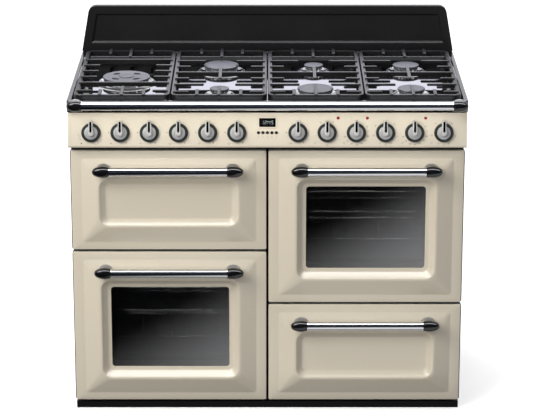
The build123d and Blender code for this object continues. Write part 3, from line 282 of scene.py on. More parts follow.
lamp("key_lamp", place=(-3.0, -3.3, 3.6), aim=(0, -0.2, 0.4), size=(3.2, 3.2), power=256,
     colour="#FFFCF7")
lamp("fill_lamp", place=(0.2, -5.6, 1.3), aim=(0, -0.2, 0.5), size=(4.0, 2.0), power=74,
     colour="#FBFBFF")
lamp("sweep_lamp", place=(0.0, 4.5, 4.6), aim=(0, 4.5, 0), size=(6.0, 6.0), power=260,
     colour="#FFFFFF")
print("three lamps")

# %% [markdown]
# A photographer also props up cards, just out of the picture. Here the camera can't see them, so they
# may stand anywhere. A dark wall in front of the cooker, a bright card overhead and one along the
# floor, dark on the left and pale on the right, draw the bands on the chrome and the soft slant on the
# oven glass. A dull card stands in for the floor as a source of light, so that the fronts are lit only
# a little from below. They could be lamps, but a card can carry two tones. Light that has passed a pane
# counts as transmission, so the mirrored cards show to it too.

# %% Cards
QUARTER_TURN = math.radians(90)
MIRRORED = ("glossy", "transmission")
ALL_RAYS = ("camera", "diffuse", "glossy", "transmission", "volume_scatter", "shadow")


def card(name, place, size, turn, tones, glow, run, span, seen):
    """A glowing card: two tones along run, over span in metres, shown only to the rays in seen."""
    bpy.ops.mesh.primitive_plane_add(size=1, location=place, rotation=(turn, 0, 0))
    sheet = bpy.context.object
    sheet.name = name
    sheet.scale = (*size, 1)
    bpy.ops.object.transform_apply(location=True, rotation=True, scale=True)
    material = blank_material(name)
    tree = material.node_tree
    spot = add_node(tree, "ShaderNodeTexCoord", {})
    along = add_node(tree, "ShaderNodeVectorMath", {0: spot.outputs["Object"], 1: run},
                     operation="DOT_PRODUCT")
    share = add_node(tree, "ShaderNodeMapRange",
                     {"Value": along.outputs["Value"], "From Min": span[0], "From Max": span[1]},
                     interpolation_type="SMOOTHSTEP")
    tone = add_node(tree, "ShaderNodeMix",
                    {0: share.outputs["Result"], 6: linear(tones[0]), 7: linear(tones[1])},
                    data_type="RGBA")
    shine = add_node(tree, "ShaderNodeEmission", {"Color": tone.outputs[2], "Strength": glow})
    add_node(tree, "ShaderNodeOutputMaterial", {"Surface": shine.outputs["Emission"]})
    sheet.data.materials.append(material)
    for ray in ALL_RAYS:
        setattr(sheet, "visible_" + ray, ray in seen)


card("dark_wall", place=(0, -2.6, 1.95), size=(16, 3.9), turn=QUARTER_TURN,
     tones=("#15181D", "#3A4048"), glow=1, run=(0, 0, 1), span=(0.0, 3.0), seen=MIRRORED)
card("floor_card", place=(0, -1.51, -0.004), size=(16, 2.18), turn=0,
     tones=("#0A0B0D", "#FFFFFF"), glow=0.82, run=(1, 0.57, 0), span=(-0.98, -0.3), seen=MIRRORED)
card("floor_flag", place=(0, -1.96, -0.006), size=(16, 3.1), turn=0,
     tones=("#79746C", "#7F7A72"), glow=1, run=(0, 1, 0), span=(-3.5, -0.4), seen=("diffuse",))
card("sky_card", place=(0, -1.05, 3.1), size=(7, 0.7), turn=0,
     tones=("#FFFFFF", "#F6F7FF"), glow=8, run=(0, 1, 0), span=(-1.4, -0.7), seen=MIRRORED)
print("four cards")

# %% [markdown]
# Four small lights do close work. A strip behind the burners gives the black hob something bright to
# mirror, a weak one just below the front rail lights the top of the panel, and a lamp inside the door
# of each glazed oven lets the racks show through the glass.

# %% Small lights
OVEN_LAMP_BACK = 50
OVEN_LAMP_DOWN = 30
hob_card = lamp("hob_card", place=(0, 0.297, 1.018), aim=(0, -1, 1.018), size=(1.04, 0.09), power=0.5,
                colour="#F1F0FF")
hob_card.visible_diffuse = False
rail_bounce = lamp("rail_bounce", place=(0, -0.338, 0.878), aim=(0, 0, 0.878), size=(1.06, 0.02),
                   power=0.33, colour="#FFFAF0")
rail_bounce.visible_glossy = False
for cavity in ("main_oven_cavity", "second_oven_cavity"):
    low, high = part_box(cavity)
    middle = (low + high) / 2
    bulb = (middle.x, low.y + OVEN_LAMP_BACK * MM, high.z - OVEN_LAMP_DOWN * MM)
    lamp(cavity + "_lamp", place=bulb, aim=middle, size=(0.3, 0.04), power=1.8, colour="#FFF4E2")
print("four small lights")

# %% [markdown]
# The camera stands far off with a long lens, a little above the hob, so the uprights stay almost
# parallel. Its lens is given as a share of the sensor's width, which sets how much the picture holds.

# %% Camera
AIM = Vector((0.003, -0.286, 0.618))
DISTANCE = 6.5
TILT = math.radians(17.1)
LENS_SHARE = 4.378
back = Vector((0, -math.cos(TILT), math.sin(TILT)))
bpy.ops.object.camera_add(location=AIM + back * DISTANCE)
camera = bpy.context.object
camera.name = "photo_camera"
camera.rotation_euler = (-back).to_track_quat("-Z", "Y").to_euler()
camera.data.lens = camera.data.sensor_width * LENS_SHARE
bpy.context.scene.camera = camera
bpy.context.scene.view_settings.view_transform = "Standard"
print("camera at", tuple(camera.location))

# %% [markdown]
# ## The pressed fronts
# Before the first piece, a few helpers stand for what one does by hand all the time: select one object,
# add a primitive, apply a modifier, pick points or faces, close the seams. The last one seats a
# finished piece: its place goes into its mesh, and it gets its finish and the body that carries it.

# %% Pressed fronts: the helpers
SMOOTH_UP_TO = 32
MERGE_WITHIN = 0.002


def only(piece):
    """Select one object and nothing else, and make it active."""
    bpy.ops.object.select_all(action="DESELECT")
    piece.select_set(True)
    bpy.context.view_layer.objects.active = piece
    return piece


def start(primitive, name, **settings):
    """Add a primitive on its own and name it."""
    bpy.ops.object.select_all(action="DESELECT")
    primitive(**settings)
    bpy.context.object.name = name
    return bpy.context.object


def modify(piece, kind, **settings):
    """Add a modifier, set it and apply it."""
    only(piece)
    modifier = piece.modifiers.new(kind, kind)
    for key, value in settings.items():
        setattr(modifier, key, value)
    bpy.ops.object.modifier_apply(modifier=modifier.name)


def pick(piece, kind, test):
    """Open the active piece with only those points or faces selected that pass a test."""
    bpy.ops.object.mode_set(mode="EDIT")
    bpy.ops.mesh.select_mode(type=kind)
    bpy.ops.mesh.select_all(action="DESELECT")
    bpy.ops.object.mode_set(mode="OBJECT")
    items = piece.data.vertices if kind == "VERT" else piece.data.polygons
    for item in items:
        item.select = test(item)
    bpy.ops.object.mode_set(mode="EDIT")


def tidy_mesh():
    """Close the seams of the open mesh and turn all its faces outward."""
    bpy.ops.mesh.select_all(action="SELECT")
    bpy.ops.mesh.remove_doubles(threshold=MERGE_WITHIN * MM)
    bpy.ops.mesh.normals_make_consistent(inside=False)


def seat(piece, body, slot, *replaced, surface=None):
    """Put the piece's place in its mesh, smooth it, give it its finish and hang it on its body."""
    only(piece)
    bpy.ops.object.transform_apply(location=True, rotation=True, scale=True)
    bpy.ops.object.shade_smooth_by_angle(angle=math.radians(SMOOTH_UP_TO))
    piece.data.materials.clear()
    piece.data.materials.append(surface or FINISHES[slot])
    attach(piece, body)
    if replaced:
        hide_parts(*replaced)
    return piece


print("edges sharper than", SMOOTH_UP_TO, "degrees stay crisp")

# %% [markdown]
# Each front is one steel sheet pressed in a die: a flat border, four facets that climb to a ridge, and
# a sunk centre that is either blind or cut out for the window. One could inset and push the faces of a
# plane, but its corners would not stay round. Every line of the pressing is a rounded rectangle at its
# own level, so we draw those rectangles one after the other and bridge each to the one before.

# %% Pressed fronts: a skin over rounded rectangles
CORNER_STEPS = 6
LOOP_POINTS = 4 * (CORNER_STEPS + 1)


def open_empty(name):
    """Start an empty mesh and open it."""
    piece = start(bpy.ops.mesh.primitive_plane_add, name)
    bpy.ops.object.mode_set(mode="EDIT")
    bpy.ops.mesh.select_mode(type="VERT")
    bpy.ops.mesh.select_all(action="SELECT")
    bpy.ops.mesh.delete(type="VERT")
    return piece


def rounded_loop(width, height, corner, level):
    """Draw a rounded rectangle, in mm, in the open mesh, and leave it selected."""
    bpy.ops.mesh.primitive_plane_add(size=1)
    bpy.ops.transform.resize(value=(width * MM, height * MM, 1))
    bpy.ops.mesh.bevel(affect="VERTICES", offset=corner * MM, segments=CORNER_STEPS)
    bpy.ops.transform.translate(value=(0, 0, level * MM))
    bpy.ops.mesh.delete(type="ONLY_FACE")


def skinned(name, loops, closed):
    """Stretch a skin over a row of rounded rectangles, and close the last one if asked."""
    piece = open_empty(name)
    for number, loop in enumerate(loops):
        rounded_loop(*loop)
        if number:
            pick(piece, "VERT", lambda point: point.index >= (number - 1) * LOOP_POINTS)
            bpy.ops.mesh.bridge_edge_loops()
    if closed:
        pick(piece, "VERT", lambda point: point.index >= (len(loops) - 1) * LOOP_POINTS)
        bpy.ops.mesh.edge_face_add()
    tidy_mesh()
    bpy.ops.object.mode_set(mode="OBJECT")
    return piece


print("each rounded rectangle has", LOOP_POINTS, "points")

# %% [markdown]
# The four fronts share one die line, and only the depth of the sunk centre differs. A pressing has no
# sharp folds, so two or more close rectangles make each bend round. The rows below give one rectangle
# each, as steps in mm from the fold that they belong to.

# %% Pressed fronts: the die line
SHEET = 1.4
RETURN = 5
# folds, as insets from the side and from the top or bottom edge
EDGE_GAP = (1.6, 0.4)
BORDER = (30, 23)
RIDGE = (80, 77)
# levels above the border, and widths
RIDGE_RISE = 24
DISH_SLOPE = 18
WINDOW_FLOOR = 2
BLIND_FLOOR = 8
WINDOW_LIP = 8
RIM_CORNER, BORDER_CORNER, WINDOW_CORNER = 4, 8, 9
# inset and level
RIM_BEND = ((0, -RETURN), (0, -2.6), (0.8, -0.8), (2.6, -0.04))
BORDER_BEND = ((-2.5, 0), (0, 0.3), (2.5, 1.4))
WINDOW_BEND = ((-0.8, 0), (0, -0.6), (0, -SHEET))
# inset, corner and level
RIDGE_BEND = ((-9, 28, -1.9), (-6.5, 30, -0.8), (-3.6, 31, -0.1), (-1.4, 29, 0), (0.8, 25, -0.9),
              (2.4, 23, -2.6))
# share of the slope, corner, share of the fall still to go and lift
DISH_BEND = ((0.80, 15, 0.105, 0), (0.92, 13, 0.03, 0), (1.06, 12, 0, 0.1), (1.2, 11, 0, 0.05))


def die_line(glazed):
    """The pressing from rim to centre: inset from the side, inset from the end, corner and level."""
    def row(fold, step, corner, level):
        return fold[0] + step, fold[1] + step, corner, level

    ground = WINDOW_FLOOR if glazed else BLIND_FLOOR
    fall = RIDGE_RISE - ground
    line = [row(EDGE_GAP, step, RIM_CORNER, level) for step, level in RIM_BEND]
    line += [row(BORDER, step, BORDER_CORNER, level) for step, level in BORDER_BEND]
    line += [row(RIDGE, step, corner, RIDGE_RISE + level) for step, corner, level in RIDGE_BEND]
    line += [row(RIDGE, DISH_SLOPE * share, corner, ground + (fall * to_go + lift))
             for share, corner, to_go, lift in DISH_BEND]
    if glazed:
        edge = DISH_SLOPE + WINDOW_LIP
        line += [row(RIDGE, edge + step, WINDOW_CORNER, ground + level) for step, level in WINDOW_BEND]
    return line


print("lines in a blind and a glazed pressing:", len(die_line(False)), len(die_line(True)))

# %% [markdown]
# Solidify gives the skin its sheet thickness. Behind the short enamelled return a black band closes the edge
# of the door; it is painted shade, a dark sheet that makes the gaps between the fronts look black as shadow
# would. When a door tips, its hinge arms come out through the bottom edge, so a Boolean modifier cuts two
# slots there for them.

# %% Pressed fronts: the four of them
PAN_DEPTH = 16
BAND_INSET = (0.2, 2.4)
BAND_CORNER = 3
BAND_LAP = 0.5
# each pressing sits a little nearer to the middle of the cooker than its band
SHIFT_IN = 0.6
HINGE_ASIDE = 200
SLOT_WIDTH = 12
SLOT_RISE = 6
SLOT_LEVEL = 2.2


def slotted(piece, x, bottom):
    """Cut the slot in a bottom return that lets a hinge arm out as the door tips."""
    cutter = start(bpy.ops.mesh.primitive_cube_add, "slot_cutter", size=MM)
    cutter.scale = (SLOT_WIDTH, 2 * SLOT_RISE, PAN_DEPTH)
    cutter.location = (x * MM, bottom * MM, -(SLOT_LEVEL + PAN_DEPTH / 2) * MM)
    bpy.ops.object.transform_apply(location=True, rotation=True, scale=True)
    modify(piece, "BOOLEAN", operation="DIFFERENCE", object=cutter, solver="EXACT")
    bpy.data.objects.remove(cutter)


def pressed_front(node, body, glazed):
    """One enamelled front and its black band of painted shade, drawn flat and stood up in the place of the
    CAD node.
    """
    low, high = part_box(node)
    width, height = (high.x - low.x) / MM, (high.z - low.z) / MM
    loops = [(width - 2 * side, height - 2 * end, corner, level)
             for side, end, corner, level in die_line(glazed)]
    front = skinned(node + "_pressing", loops, not glazed)
    inner = (width - 2 * BAND_INSET[0], height - 2 * BAND_INSET[1], BAND_CORNER)
    # the band is painted shade: a black sheet behind the return, so the gaps between fronts read as shadow
    band = skinned(node + "_gap_shade_band", [(*inner, -PAN_DEPTH), (*inner, BAND_LAP - RETURN)], False)
    middle = (low.x + high.x) / 2
    hung = middle - math.copysign(SHIFT_IN * MM, middle)
    for piece, slot, x, replaced in ((front, "cream_enamel", hung, [node]),
                                     (band, "coated_sheet", middle, [])):
        modify(piece, "SOLIDIFY", thickness=SHEET * MM, offset=-1)
        for side in (-1, 1) if body.endswith("door") else ():
            slotted(piece, side * HINGE_ASIDE, -height / 2)
        piece.rotation_euler = (QUARTER_TURN, 0, 0)
        piece.location = (x, low.y + RIDGE_RISE * MM, (low.z + high.z) / 2)
        seat(piece, body, slot, *replaced)
    return front


for node, body, glazed in (("grill_door_panel", "grill_door", False),
                           ("main_oven_door_panel", "main_oven_door", True),
                           ("second_oven_door_panel", "second_oven_door", True),
                           ("drawer_front", "drawer", False)):
    print(pressed_front(node, body, glazed).name)

# %% [markdown]
# ## The handles and the front rail
# A handle is a chromed tube held by two black almond-shaped mouldings, each on a metal foot that stands
# on the slope of the pressing. One could draw a curve and give it a thickness, but all of them are
# round about a line, so they come off a lathe: we draw half the outline as a chain of edges and spin
# it. The tube is the plainest case.


# %% Handles: the lathe
def turned(name, outline, sides):
    """Spin half an outline, as (radius, height) in mm, round the Z axis into a closed solid."""
    piece = start(bpy.ops.mesh.primitive_plane_add, name)
    bpy.ops.object.mode_set(mode="EDIT")
    bpy.ops.mesh.select_mode(type="VERT")
    bpy.ops.mesh.select_all(action="SELECT")
    bpy.ops.mesh.merge(type="CENTER")
    bpy.ops.transform.translate(value=(outline[0][0] * MM, 0, outline[0][1] * MM))
    for (radius, height), (wider, higher) in zip(outline, outline[1:]):
        step = ((wider - radius) * MM, 0, (higher - height) * MM)
        bpy.ops.mesh.extrude_region_move(TRANSFORM_OT_translate={"value": step})
    bpy.ops.mesh.select_all(action="SELECT")
    bpy.ops.mesh.spin(steps=sides, angle=2 * math.pi, center=(0, 0, 0), axis=(0, 0, 1))
    tidy_mesh()
    bpy.ops.object.mode_set(mode="OBJECT")
    return piece


BAR_RADIUS = 12
DOOR_BAR, RAIL_BAR = 323, 1010


def tube(bar):
    """A chromed tube of some length, about the middle."""
    half = bar / 2
    return turned("tube", [(0, -half), (BAR_RADIUS, -half), (BAR_RADIUS, half), (0, half)], sides=64)


door_tube = tube(DOOR_BAR)
rail_tube = tube(RAIL_BAR)
print("tubes of", DOOR_BAR, "and", RAIL_BAR, "mm")

# %% [markdown]
# The almond swells a little from its neck and then runs out to a blunt point, so its half outline is
# an ellipse on each side of the widest place. The foot is a short post with a wider pad, and a thin
# bright ring covers the joint with the tube. Door handles and rail differ only in their lengths.

# %% Handles: ends, feet and ring
NECK_RADIUS = 13
BULGE_RADIUS = 16
BULGE_AT = 17
FOOT_NECK = 11
FOOT_RADIUS = 14.5
RING_BORE = BAR_RADIUS - 1
RING_EDGE = NECK_RADIUS + 0.5
POINT_BLUNTNESS = 0.9
DOOR_END, DOOR_FOOT = 47, 36
RAIL_END, RAIL_FOOT = 42, 24


def almond(length):
    """A handle end, from the neck at 0 to the point."""
    swell = [(NECK_RADIUS + (BULGE_RADIUS - NECK_RADIUS) * math.sin(math.radians(a)), BULGE_AT * a / 90)
             for a in (0, 30, 60)]
    run = length - BULGE_AT
    point = [(BULGE_RADIUS * math.cos(math.radians(a)) ** POINT_BLUNTNESS,
              BULGE_AT + run * math.sin(math.radians(a))) for a in (0, 15, 30, 45, 58, 70, 80)]
    return turned("end", [(0, 0)] + swell + point + [(0, length)], sides=40)


def foot(reach):
    """A foot from the middle of the tube down to the pressing."""
    return turned("foot", [(0, 0), (FOOT_NECK, 0), (FOOT_NECK, 6), (FOOT_RADIUS - 1, 10),
                           (FOOT_RADIUS, 12), (FOOT_RADIUS, reach), (0, reach)], sides=40)


def joint_ring():
    """The bright ring over the joint of tube and end."""
    return turned("ring", [(RING_BORE, -1.6), (RING_EDGE, -1.6), (NECK_RADIUS + 0.7, 0), (RING_EDGE, 1.2),
                           (RING_BORE, 1.2), (RING_BORE, -1.6)], sides=48)


door_models = {"tube": door_tube, "end": almond(DOOR_END), "foot": foot(DOOR_FOOT), "ring": joint_ring()}
rail_models = {"tube": rail_tube, "end": almond(RAIL_END), "foot": foot(RAIL_FOOT), "ring": joint_ring()}
print("handle parts:", list(door_models))

# %% [markdown]
# What repeats is modelled once and copied, and each copy gets a mesh of its own, because its place goes
# into that mesh. The box of the CAD handle says where the tube runs.

# %% Handles: four handles and the rail
FOOT_STRETCH = 1.4
RAIL_LIFT = 3


def copied(model, name):
    """A copy of a model with a mesh of its own."""
    piece = model.copy()
    piece.data = model.data.copy()
    piece.name = name
    bpy.context.collection.objects.link(piece)
    return piece


def discard(models):
    """Take models away once their copies are in place."""
    for model in models:
        bpy.data.objects.remove(model)


def handle(node, body, models, bar, lift=0):
    """The tube, two ends with feet and two rings of one handle, placed by the box of its CAD node."""
    low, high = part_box(node)
    middle = Vector(((low.x + high.x) / 2, low.y + BULGE_RADIUS * MM,
                     high.z + (lift - BULGE_RADIUS) * MM))
    piece = copied(models["tube"], node + "_tube")
    piece.rotation_euler = (0, QUARTER_TURN, 0)
    piece.location = middle
    seat(piece, body, "chrome", node)
    for side, name in ((-1, "left"), (1, "right")):
        neck = middle + Vector((side * bar / 2 * MM, 0, 0))
        outward = (0, side * QUARTER_TURN, 0)
        inward = (-QUARTER_TURN, 0, 0)
        pad = neck + Vector((side * BULGE_AT * MM, 0, 0))
        for part, slot, turn, place in (("end", "clock_plastic", outward, neck),
                                        ("foot", "burner_alloy", inward, pad),
                                        ("ring", "chrome", outward, neck)):
            piece = copied(models[part], f"{node}_{name}_{part}")
            piece.scale.x = FOOT_STRETCH if part == "foot" else 1
            piece.rotation_euler = turn
            piece.location = place
            seat(piece, body, slot)


for body in ("grill_door", "main_oven_door", "second_oven_door", "drawer"):
    handle(body + "_handle", body, door_models, DOOR_BAR)
handle("front_rail", "root", rail_models, RAIL_BAR, RAIL_LIFT)
discard([*door_models.values(), *rail_models.values()])
print("four handles and the front rail")

# %% [markdown]
# ## The knobs
# A knob is a charcoal skirt, a satin disc with a turned ring in it, and a bright lever shaped like a
# drop of water, with a black strip let into it so that the cook sees where it points. The lever
# starts as a circle: its upper points are drawn out to the tip and narrowed, and the outline is then
# raised and drawn in for the rounded back. Cutting it from a block would leave flat sides.

# %% Knobs: the lever and its strip
DROP_WAIST = 0.12
INLAY_UP = 5.5


def drop(name, root, tip, reach, layers):
    """A drop in mm: a root circle, a tip circle at reach along Y, grown through (level, draw) layers."""
    piece = start(bpy.ops.mesh.primitive_circle_add, name, vertices=40, radius=root * MM, fill_type="NGON")
    pick(piece, "VERT", lambda point: point.co.y > root * DROP_WAIST * MM)
    bpy.ops.transform.resize(value=(tip / root, tip / root, 1), center_override=(0, 0, 0))
    bpy.ops.transform.translate(value=(0, (reach - tip) * MM, 0))
    bpy.ops.mesh.select_all(action="SELECT")
    bpy.ops.transform.translate(value=(0, 0, layers[0][0] * MM))
    middle = (0, (reach - root) / 2 * MM, 0)
    half = (reach + root) / 2
    for (lower, _), (level, draw) in zip(layers, layers[1:]):
        bpy.ops.mesh.extrude_region_move(TRANSFORM_OT_translate={"value": (0, 0, (level - lower) * MM)})
        bpy.ops.transform.resize(value=(1 - draw / tip, 1 - draw / half, 1), center_override=middle)
    tidy_mesh()
    bpy.ops.object.mode_set(mode="OBJECT")
    return piece


lever = drop("knob_lever", root=8.5, tip=5.2, reach=35,
             layers=[(7.4, 0), (17, 0.1), (19.6, 0.45), (21.6, 0.8), (22.6, 0.9)])
inlay = drop("knob_inlay", root=3.3, tip=3.1, reach=27, layers=[(19, 0), (22.9, 0.1), (23.2, 0.3)])
inlay.location.y = INLAY_UP * MM
bpy.ops.object.transform_apply(location=True)
print("lever of", len(lever.data.polygons), "faces")

# %% [markdown]
# The skirt and the disc are turned. The ring on the disc is only a step in the outline: it catches a
# circle of light, as the real one does.

# %% Knobs: one of each part
KNOB_GAP = 0.8
SKIRT = [(0, KNOB_GAP), (26.5, KNOB_GAP), (26.5, 5.2), (26.1, 6.6), (25.2, 7.4), (23.8, 7.8), (0, 7.8)]
DISC = [(0, 7), (18.6, 7), (18.6, 8.6), (18.2, 9.4), (17.4, 9.8), (13.6, 10.4), (13.2, 11.2),
        (12.4, 11.5), (11.6, 11.2), (11.2, 10.6), (0, 10.6)]
# moulded charcoal skirt: a dark grey ring that parts the bright disc from the cream
charcoal = finish("charcoal_phenolic", "#2E3331", "#252927", 0.8, 0.3, 0.004)
# polished and lacquered casting: nearly white, with a soft edge of shade
bright = finish("polished_zinc", "#E6E7E8", "#D6D7D8", 0.8, 0.2, 0.001, Metallic=0.4)
KNOB_PARTS = {"skirt": (turned("knob_skirt", SKIRT, sides=56), "button_plastic", charcoal),
              "disc": (turned("knob_disc", DISC, sides=56), "satin_knob", None),
              "lever": (lever, "satin_knob", bright),
              "inlay": (inlay, "clock_plastic", None)}
print("knob parts:", list(KNOB_PARTS))

# %% [markdown]
# Each copy stands on the leaning panel at the pivot of its own joint, and rides on the knob's body, so
# that turning the joint turns the skirt, disc, lever and strip together. The axis of that joint also
# tells how far the panel leans.

# %% Knobs: twelve copies
joints = {joint["child"]: joint for joint in frame["joints"]}
spindle = Vector(joints["knob_1"]["axis"])
LEAN = math.atan2(-spindle.y, spindle.z)
pivots = {body: Vector(joint["pos_m"]) for body, joint in joints.items() if body.startswith("knob_")}
for body, pivot in pivots.items():
    for part, (model, slot, surface) in KNOB_PARTS.items():
        piece = copied(model, f"{body}_{part}")
        piece.rotation_euler = (LEAN, 0, 0)
        piece.location = pivot
        seat(piece, body, slot, *([body] if part == "skirt" else []), surface=surface)
discard([model for model, *_ in KNOB_PARTS.values()])
print(len(pivots), "knobs on a panel that leans", round(math.degrees(LEAN), 2), "degrees")

# %% [markdown]
# ## The clock and the lamps
# The clock's time is shown in seven-segment figures. Each segment is a short bar, so a figure is a
# choice from seven bars. The bars are drawn flat in one open mesh, given the thickness of a film and
# stood on the panel.

# %% Clock: the figures
PANEL_SPOT = Vector((0, pivots["knob_1"].y, pivots["knob_1"].z))
CLOCK_UP = 28
SEGMENTS = {"a": (0, 1, 0), "g": (0, 0, 0), "d": (0, -1, 0), "f": (-1, 0.5, 90), "b": (1, 0.5, 90),
            "e": (-1, -0.5, 90), "c": (1, -0.5, 90)}
SEGMENT_SIZE = (3.9, 1.05)
FIGURES = {-13.5: "bc", -5.2: "abged", 5.2: "fgbc", 13.5: "afgcd"}
FIGURE_HALF = (2.3, 5.2)
FIGURE_SLANT = 0.6
COLON_UP, COLON_ASIDE, COLON_RADIUS = 2, 0.24, 0.7
FIGURE_FILM, FIGURE_OUT = 0.1, 0.9


def bar(x, y, length, width, turn=0):
    """Add a flat bar, in mm, to the open mesh; turn is in degrees."""
    bpy.ops.mesh.primitive_plane_add(size=MM, location=(x * MM, y * MM, 0),
                                     rotation=(0, 0, math.radians(turn)), scale=(length, width, 1))


def dot(x, y, radius):
    """Add a flat round dot, in mm, to the open mesh."""
    bpy.ops.mesh.primitive_circle_add(vertices=20, radius=radius * MM, fill_type="NGON",
                                      location=(x * MM, y * MM, 0))


def on_panel(piece, x, up, out):
    """Stand a flat piece on the leaning panel, in mm from the knob row's middle."""
    piece.rotation_euler = (LEAN, 0, 0)
    tilt = Vector((0, math.cos(LEAN), math.sin(LEAN)))
    normal = Vector((0, -math.sin(LEAN), math.cos(LEAN)))
    piece.location = PANEL_SPOT + Vector((x * MM, 0, 0)) + tilt * up * MM + normal * out * MM


figures = open_empty("clock_figures")
for x, lit in FIGURES.items():
    for segment in lit:
        aside, up, turn = SEGMENTS[segment]
        bar(x + aside * FIGURE_HALF[0] + up * FIGURE_SLANT, up * FIGURE_HALF[1], *SEGMENT_SIZE, turn)
for side in (-1, 1):
    dot(side * COLON_ASIDE, side * COLON_UP, COLON_RADIUS)
bpy.ops.object.mode_set(mode="OBJECT")
modify(figures, "SOLIDIFY", thickness=FIGURE_FILM * MM, offset=1)
on_panel(figures, 0, CLOCK_UP, FIGURE_OUT)
# lit phosphor: a pale blue-white that gives its own light
phosphor = finish("lit_phosphor", "#E9F1F4", "#CFDCE2", 0.6, 0.4, 0.0,
                  Emission_Color=linear("#E8F0F4"), Emission_Strength=1.2)
seat(figures, "root", "clock_plastic", surface=phosphor)
print("clock figures:", len(FIGURES))

# %% [markdown]
# The clock window has a raised enamelled bezel round a black pane. Both are skins over rounded
# rectangles again, like the fronts, only smaller.

# %% Clock: bezel and pane
WINDOW = (45, 24)
BEZEL_CORNER = 1.6
# step out from the window, and level
BEZEL_BEND = ((0, 0), (0, 1.7), (0.5, 2.3), (2.6, 2.5), (3.6, 2.1), (4.3, 0.9), (4.5, 0))
# step in from the window, corner and level
PANE_BEND = ((0.1, 1.5, 0), (0.1, 1.5, 0.5), (0.4, 1.3, 0.8))
SKIN_GAP = 0.02
bezel = skinned("clock_bezel", [(WINDOW[0] + 2 * out, WINDOW[1] + 2 * out, BEZEL_CORNER + out, level)
                                for out, level in BEZEL_BEND], False)
pane = skinned("clock_window", [(WINDOW[0] - 2 * step, WINDOW[1] - 2 * step, corner, level)
                                for step, corner, level in PANE_BEND], True)
for piece, slot in ((bezel, "cream_enamel"), (pane, "clock_plastic")):
    on_panel(piece, 0, CLOCK_UP, SKIN_GAP)
    seat(piece, "root", slot)
print("clock bezel and pane")

# %% [markdown]
# The five buttons are turned with a slightly hollow top, to hold a fingertip. The three red lamps are
# small domes in a thin ring.

# %% Clock buttons and lamps
BUTTON = [(0, -3.5), (4.15, -3.5), (4.15, 1.6), (3.9, 2.2), (3.3, 2.6), (2.2, 2.5), (0, 2.2)]
LENS = [(0, -2), (3.4, -2), (3.4, 0.3), (3.1, 1.0), (2.2, 1.6), (0, 2.0)]
LENS_RING = [(3.45, 0), (4.4, 0), (4.3, 0.5), (3.9, 0.7), (3.45, 0.5), (3.45, 0)]
LAMP_ASIDE, LAMP_UP = 30, 40
button_model = turned("button", BUTTON, sides=32)
lens_model = turned("lens", LENS, sides=28)
ring_model = turned("lens_ring", LENS_RING, sides=28)
buttons = [body for body in joints if body.startswith("clock_button_")]
for body in buttons:
    low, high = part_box(body)
    button = copied(button_model, body + "_cap")
    on_panel(button, (low.x + high.x) / 2 / MM, 0, 0)
    seat(button, body, "button_plastic", body)
for number, knob in enumerate(("knob_8", "knob_9", "knob_11"), start=1):
    x = pivots[knob].x / MM + LAMP_ASIDE
    lens = copied(lens_model, f"lamp_{number}_lens")
    on_panel(lens, x, LAMP_UP, 0)
    seat(lens, "root", "red_lens", *(["indicator_lamps"] if number == 1 else []))
    ring = copied(ring_model, f"lamp_{number}_ring")
    on_panel(ring, x, LAMP_UP, SKIN_GAP)
    seat(ring, "root", "chrome")
discard([button_model, lens_model, ring_model])
print(len(buttons), "buttons, three lamps")

# %% [markdown]
# ## The printing on the panel
# Every knob has its marks, screened in dark ink: a ring of numbers for the two thermostats, small
# oven signs for the selectors, and for six burner knobs a plan of the hob with one place filled in.
# Only plain figures and signs are used. Angles run clockwise from the top, as on a clock face. An
# image would be quicker, but drawn bars and dots stay sharp at any distance.

# %% Printing: the signs
OVEN_SIGN = (4.6, 4.2, 0.5)
HEAT_BAR, HEAT_UP = (2.8, 0.5), 1.2
HOB_SIGN = (9.0, 4.6, 0.6)
HOB_STEP, HOB_DOT = (2.9, 1.1), 1.05
ARC_STEPS, ARC_RADIUS, ARC_REACH = 9, 35, 36
ARC_LINE, ARC_GROWTH = 0.6, 0.22


def round_knob(knob, angle, radius):
    """The point, in mm along the panel, at a clock angle and a radius round a knob."""
    turn = math.radians(angle)
    return pivots[knob].x / MM + radius * math.sin(turn), radius * math.cos(turn)


def outline_box(x, y, width, height, line):
    """A drawn rectangle of four bars."""
    for side in (-1, 1):
        bar(x, y + side * height / 2, width + line, line)
        bar(x + side * width / 2, y, line, height)


def oven_sign(x, y, heat):
    """A little oven: a box with a bar for top heat, bottom heat or both."""
    outline_box(x, y, *OVEN_SIGN)
    for side in heat:
        bar(x, y + side * HEAT_UP, *HEAT_BAR)


def hob_sign(x, y, place):
    """A plan of the hob with one burner filled in."""
    outline_box(x, y, *HOB_SIGN)
    dot(x + place[0] * HOB_STEP[0], y + place[1] * HOB_STEP[1], HOB_DOT)


def swelling_arc(knob, first, last):
    """A curved wedge that grows from a hair line, for more and more heat."""
    length = ARC_REACH * math.radians(abs(last - first)) / (ARC_STEPS - 2)
    for step in range(ARC_STEPS):
        angle = first + (last - first) * step / (ARC_STEPS - 1)
        bar(*round_knob(knob, angle, ARC_RADIUS), length, ARC_LINE + ARC_GROWTH * step, -angle)


print("signs of", OVEN_SIGN[0], "and", HOB_SIGN[0], "mm")

# %% [markdown]
# All marks go into one open mesh, because they are one film of ink on one panel. Each sign stands at
# its clock angle and radius round its own knob.

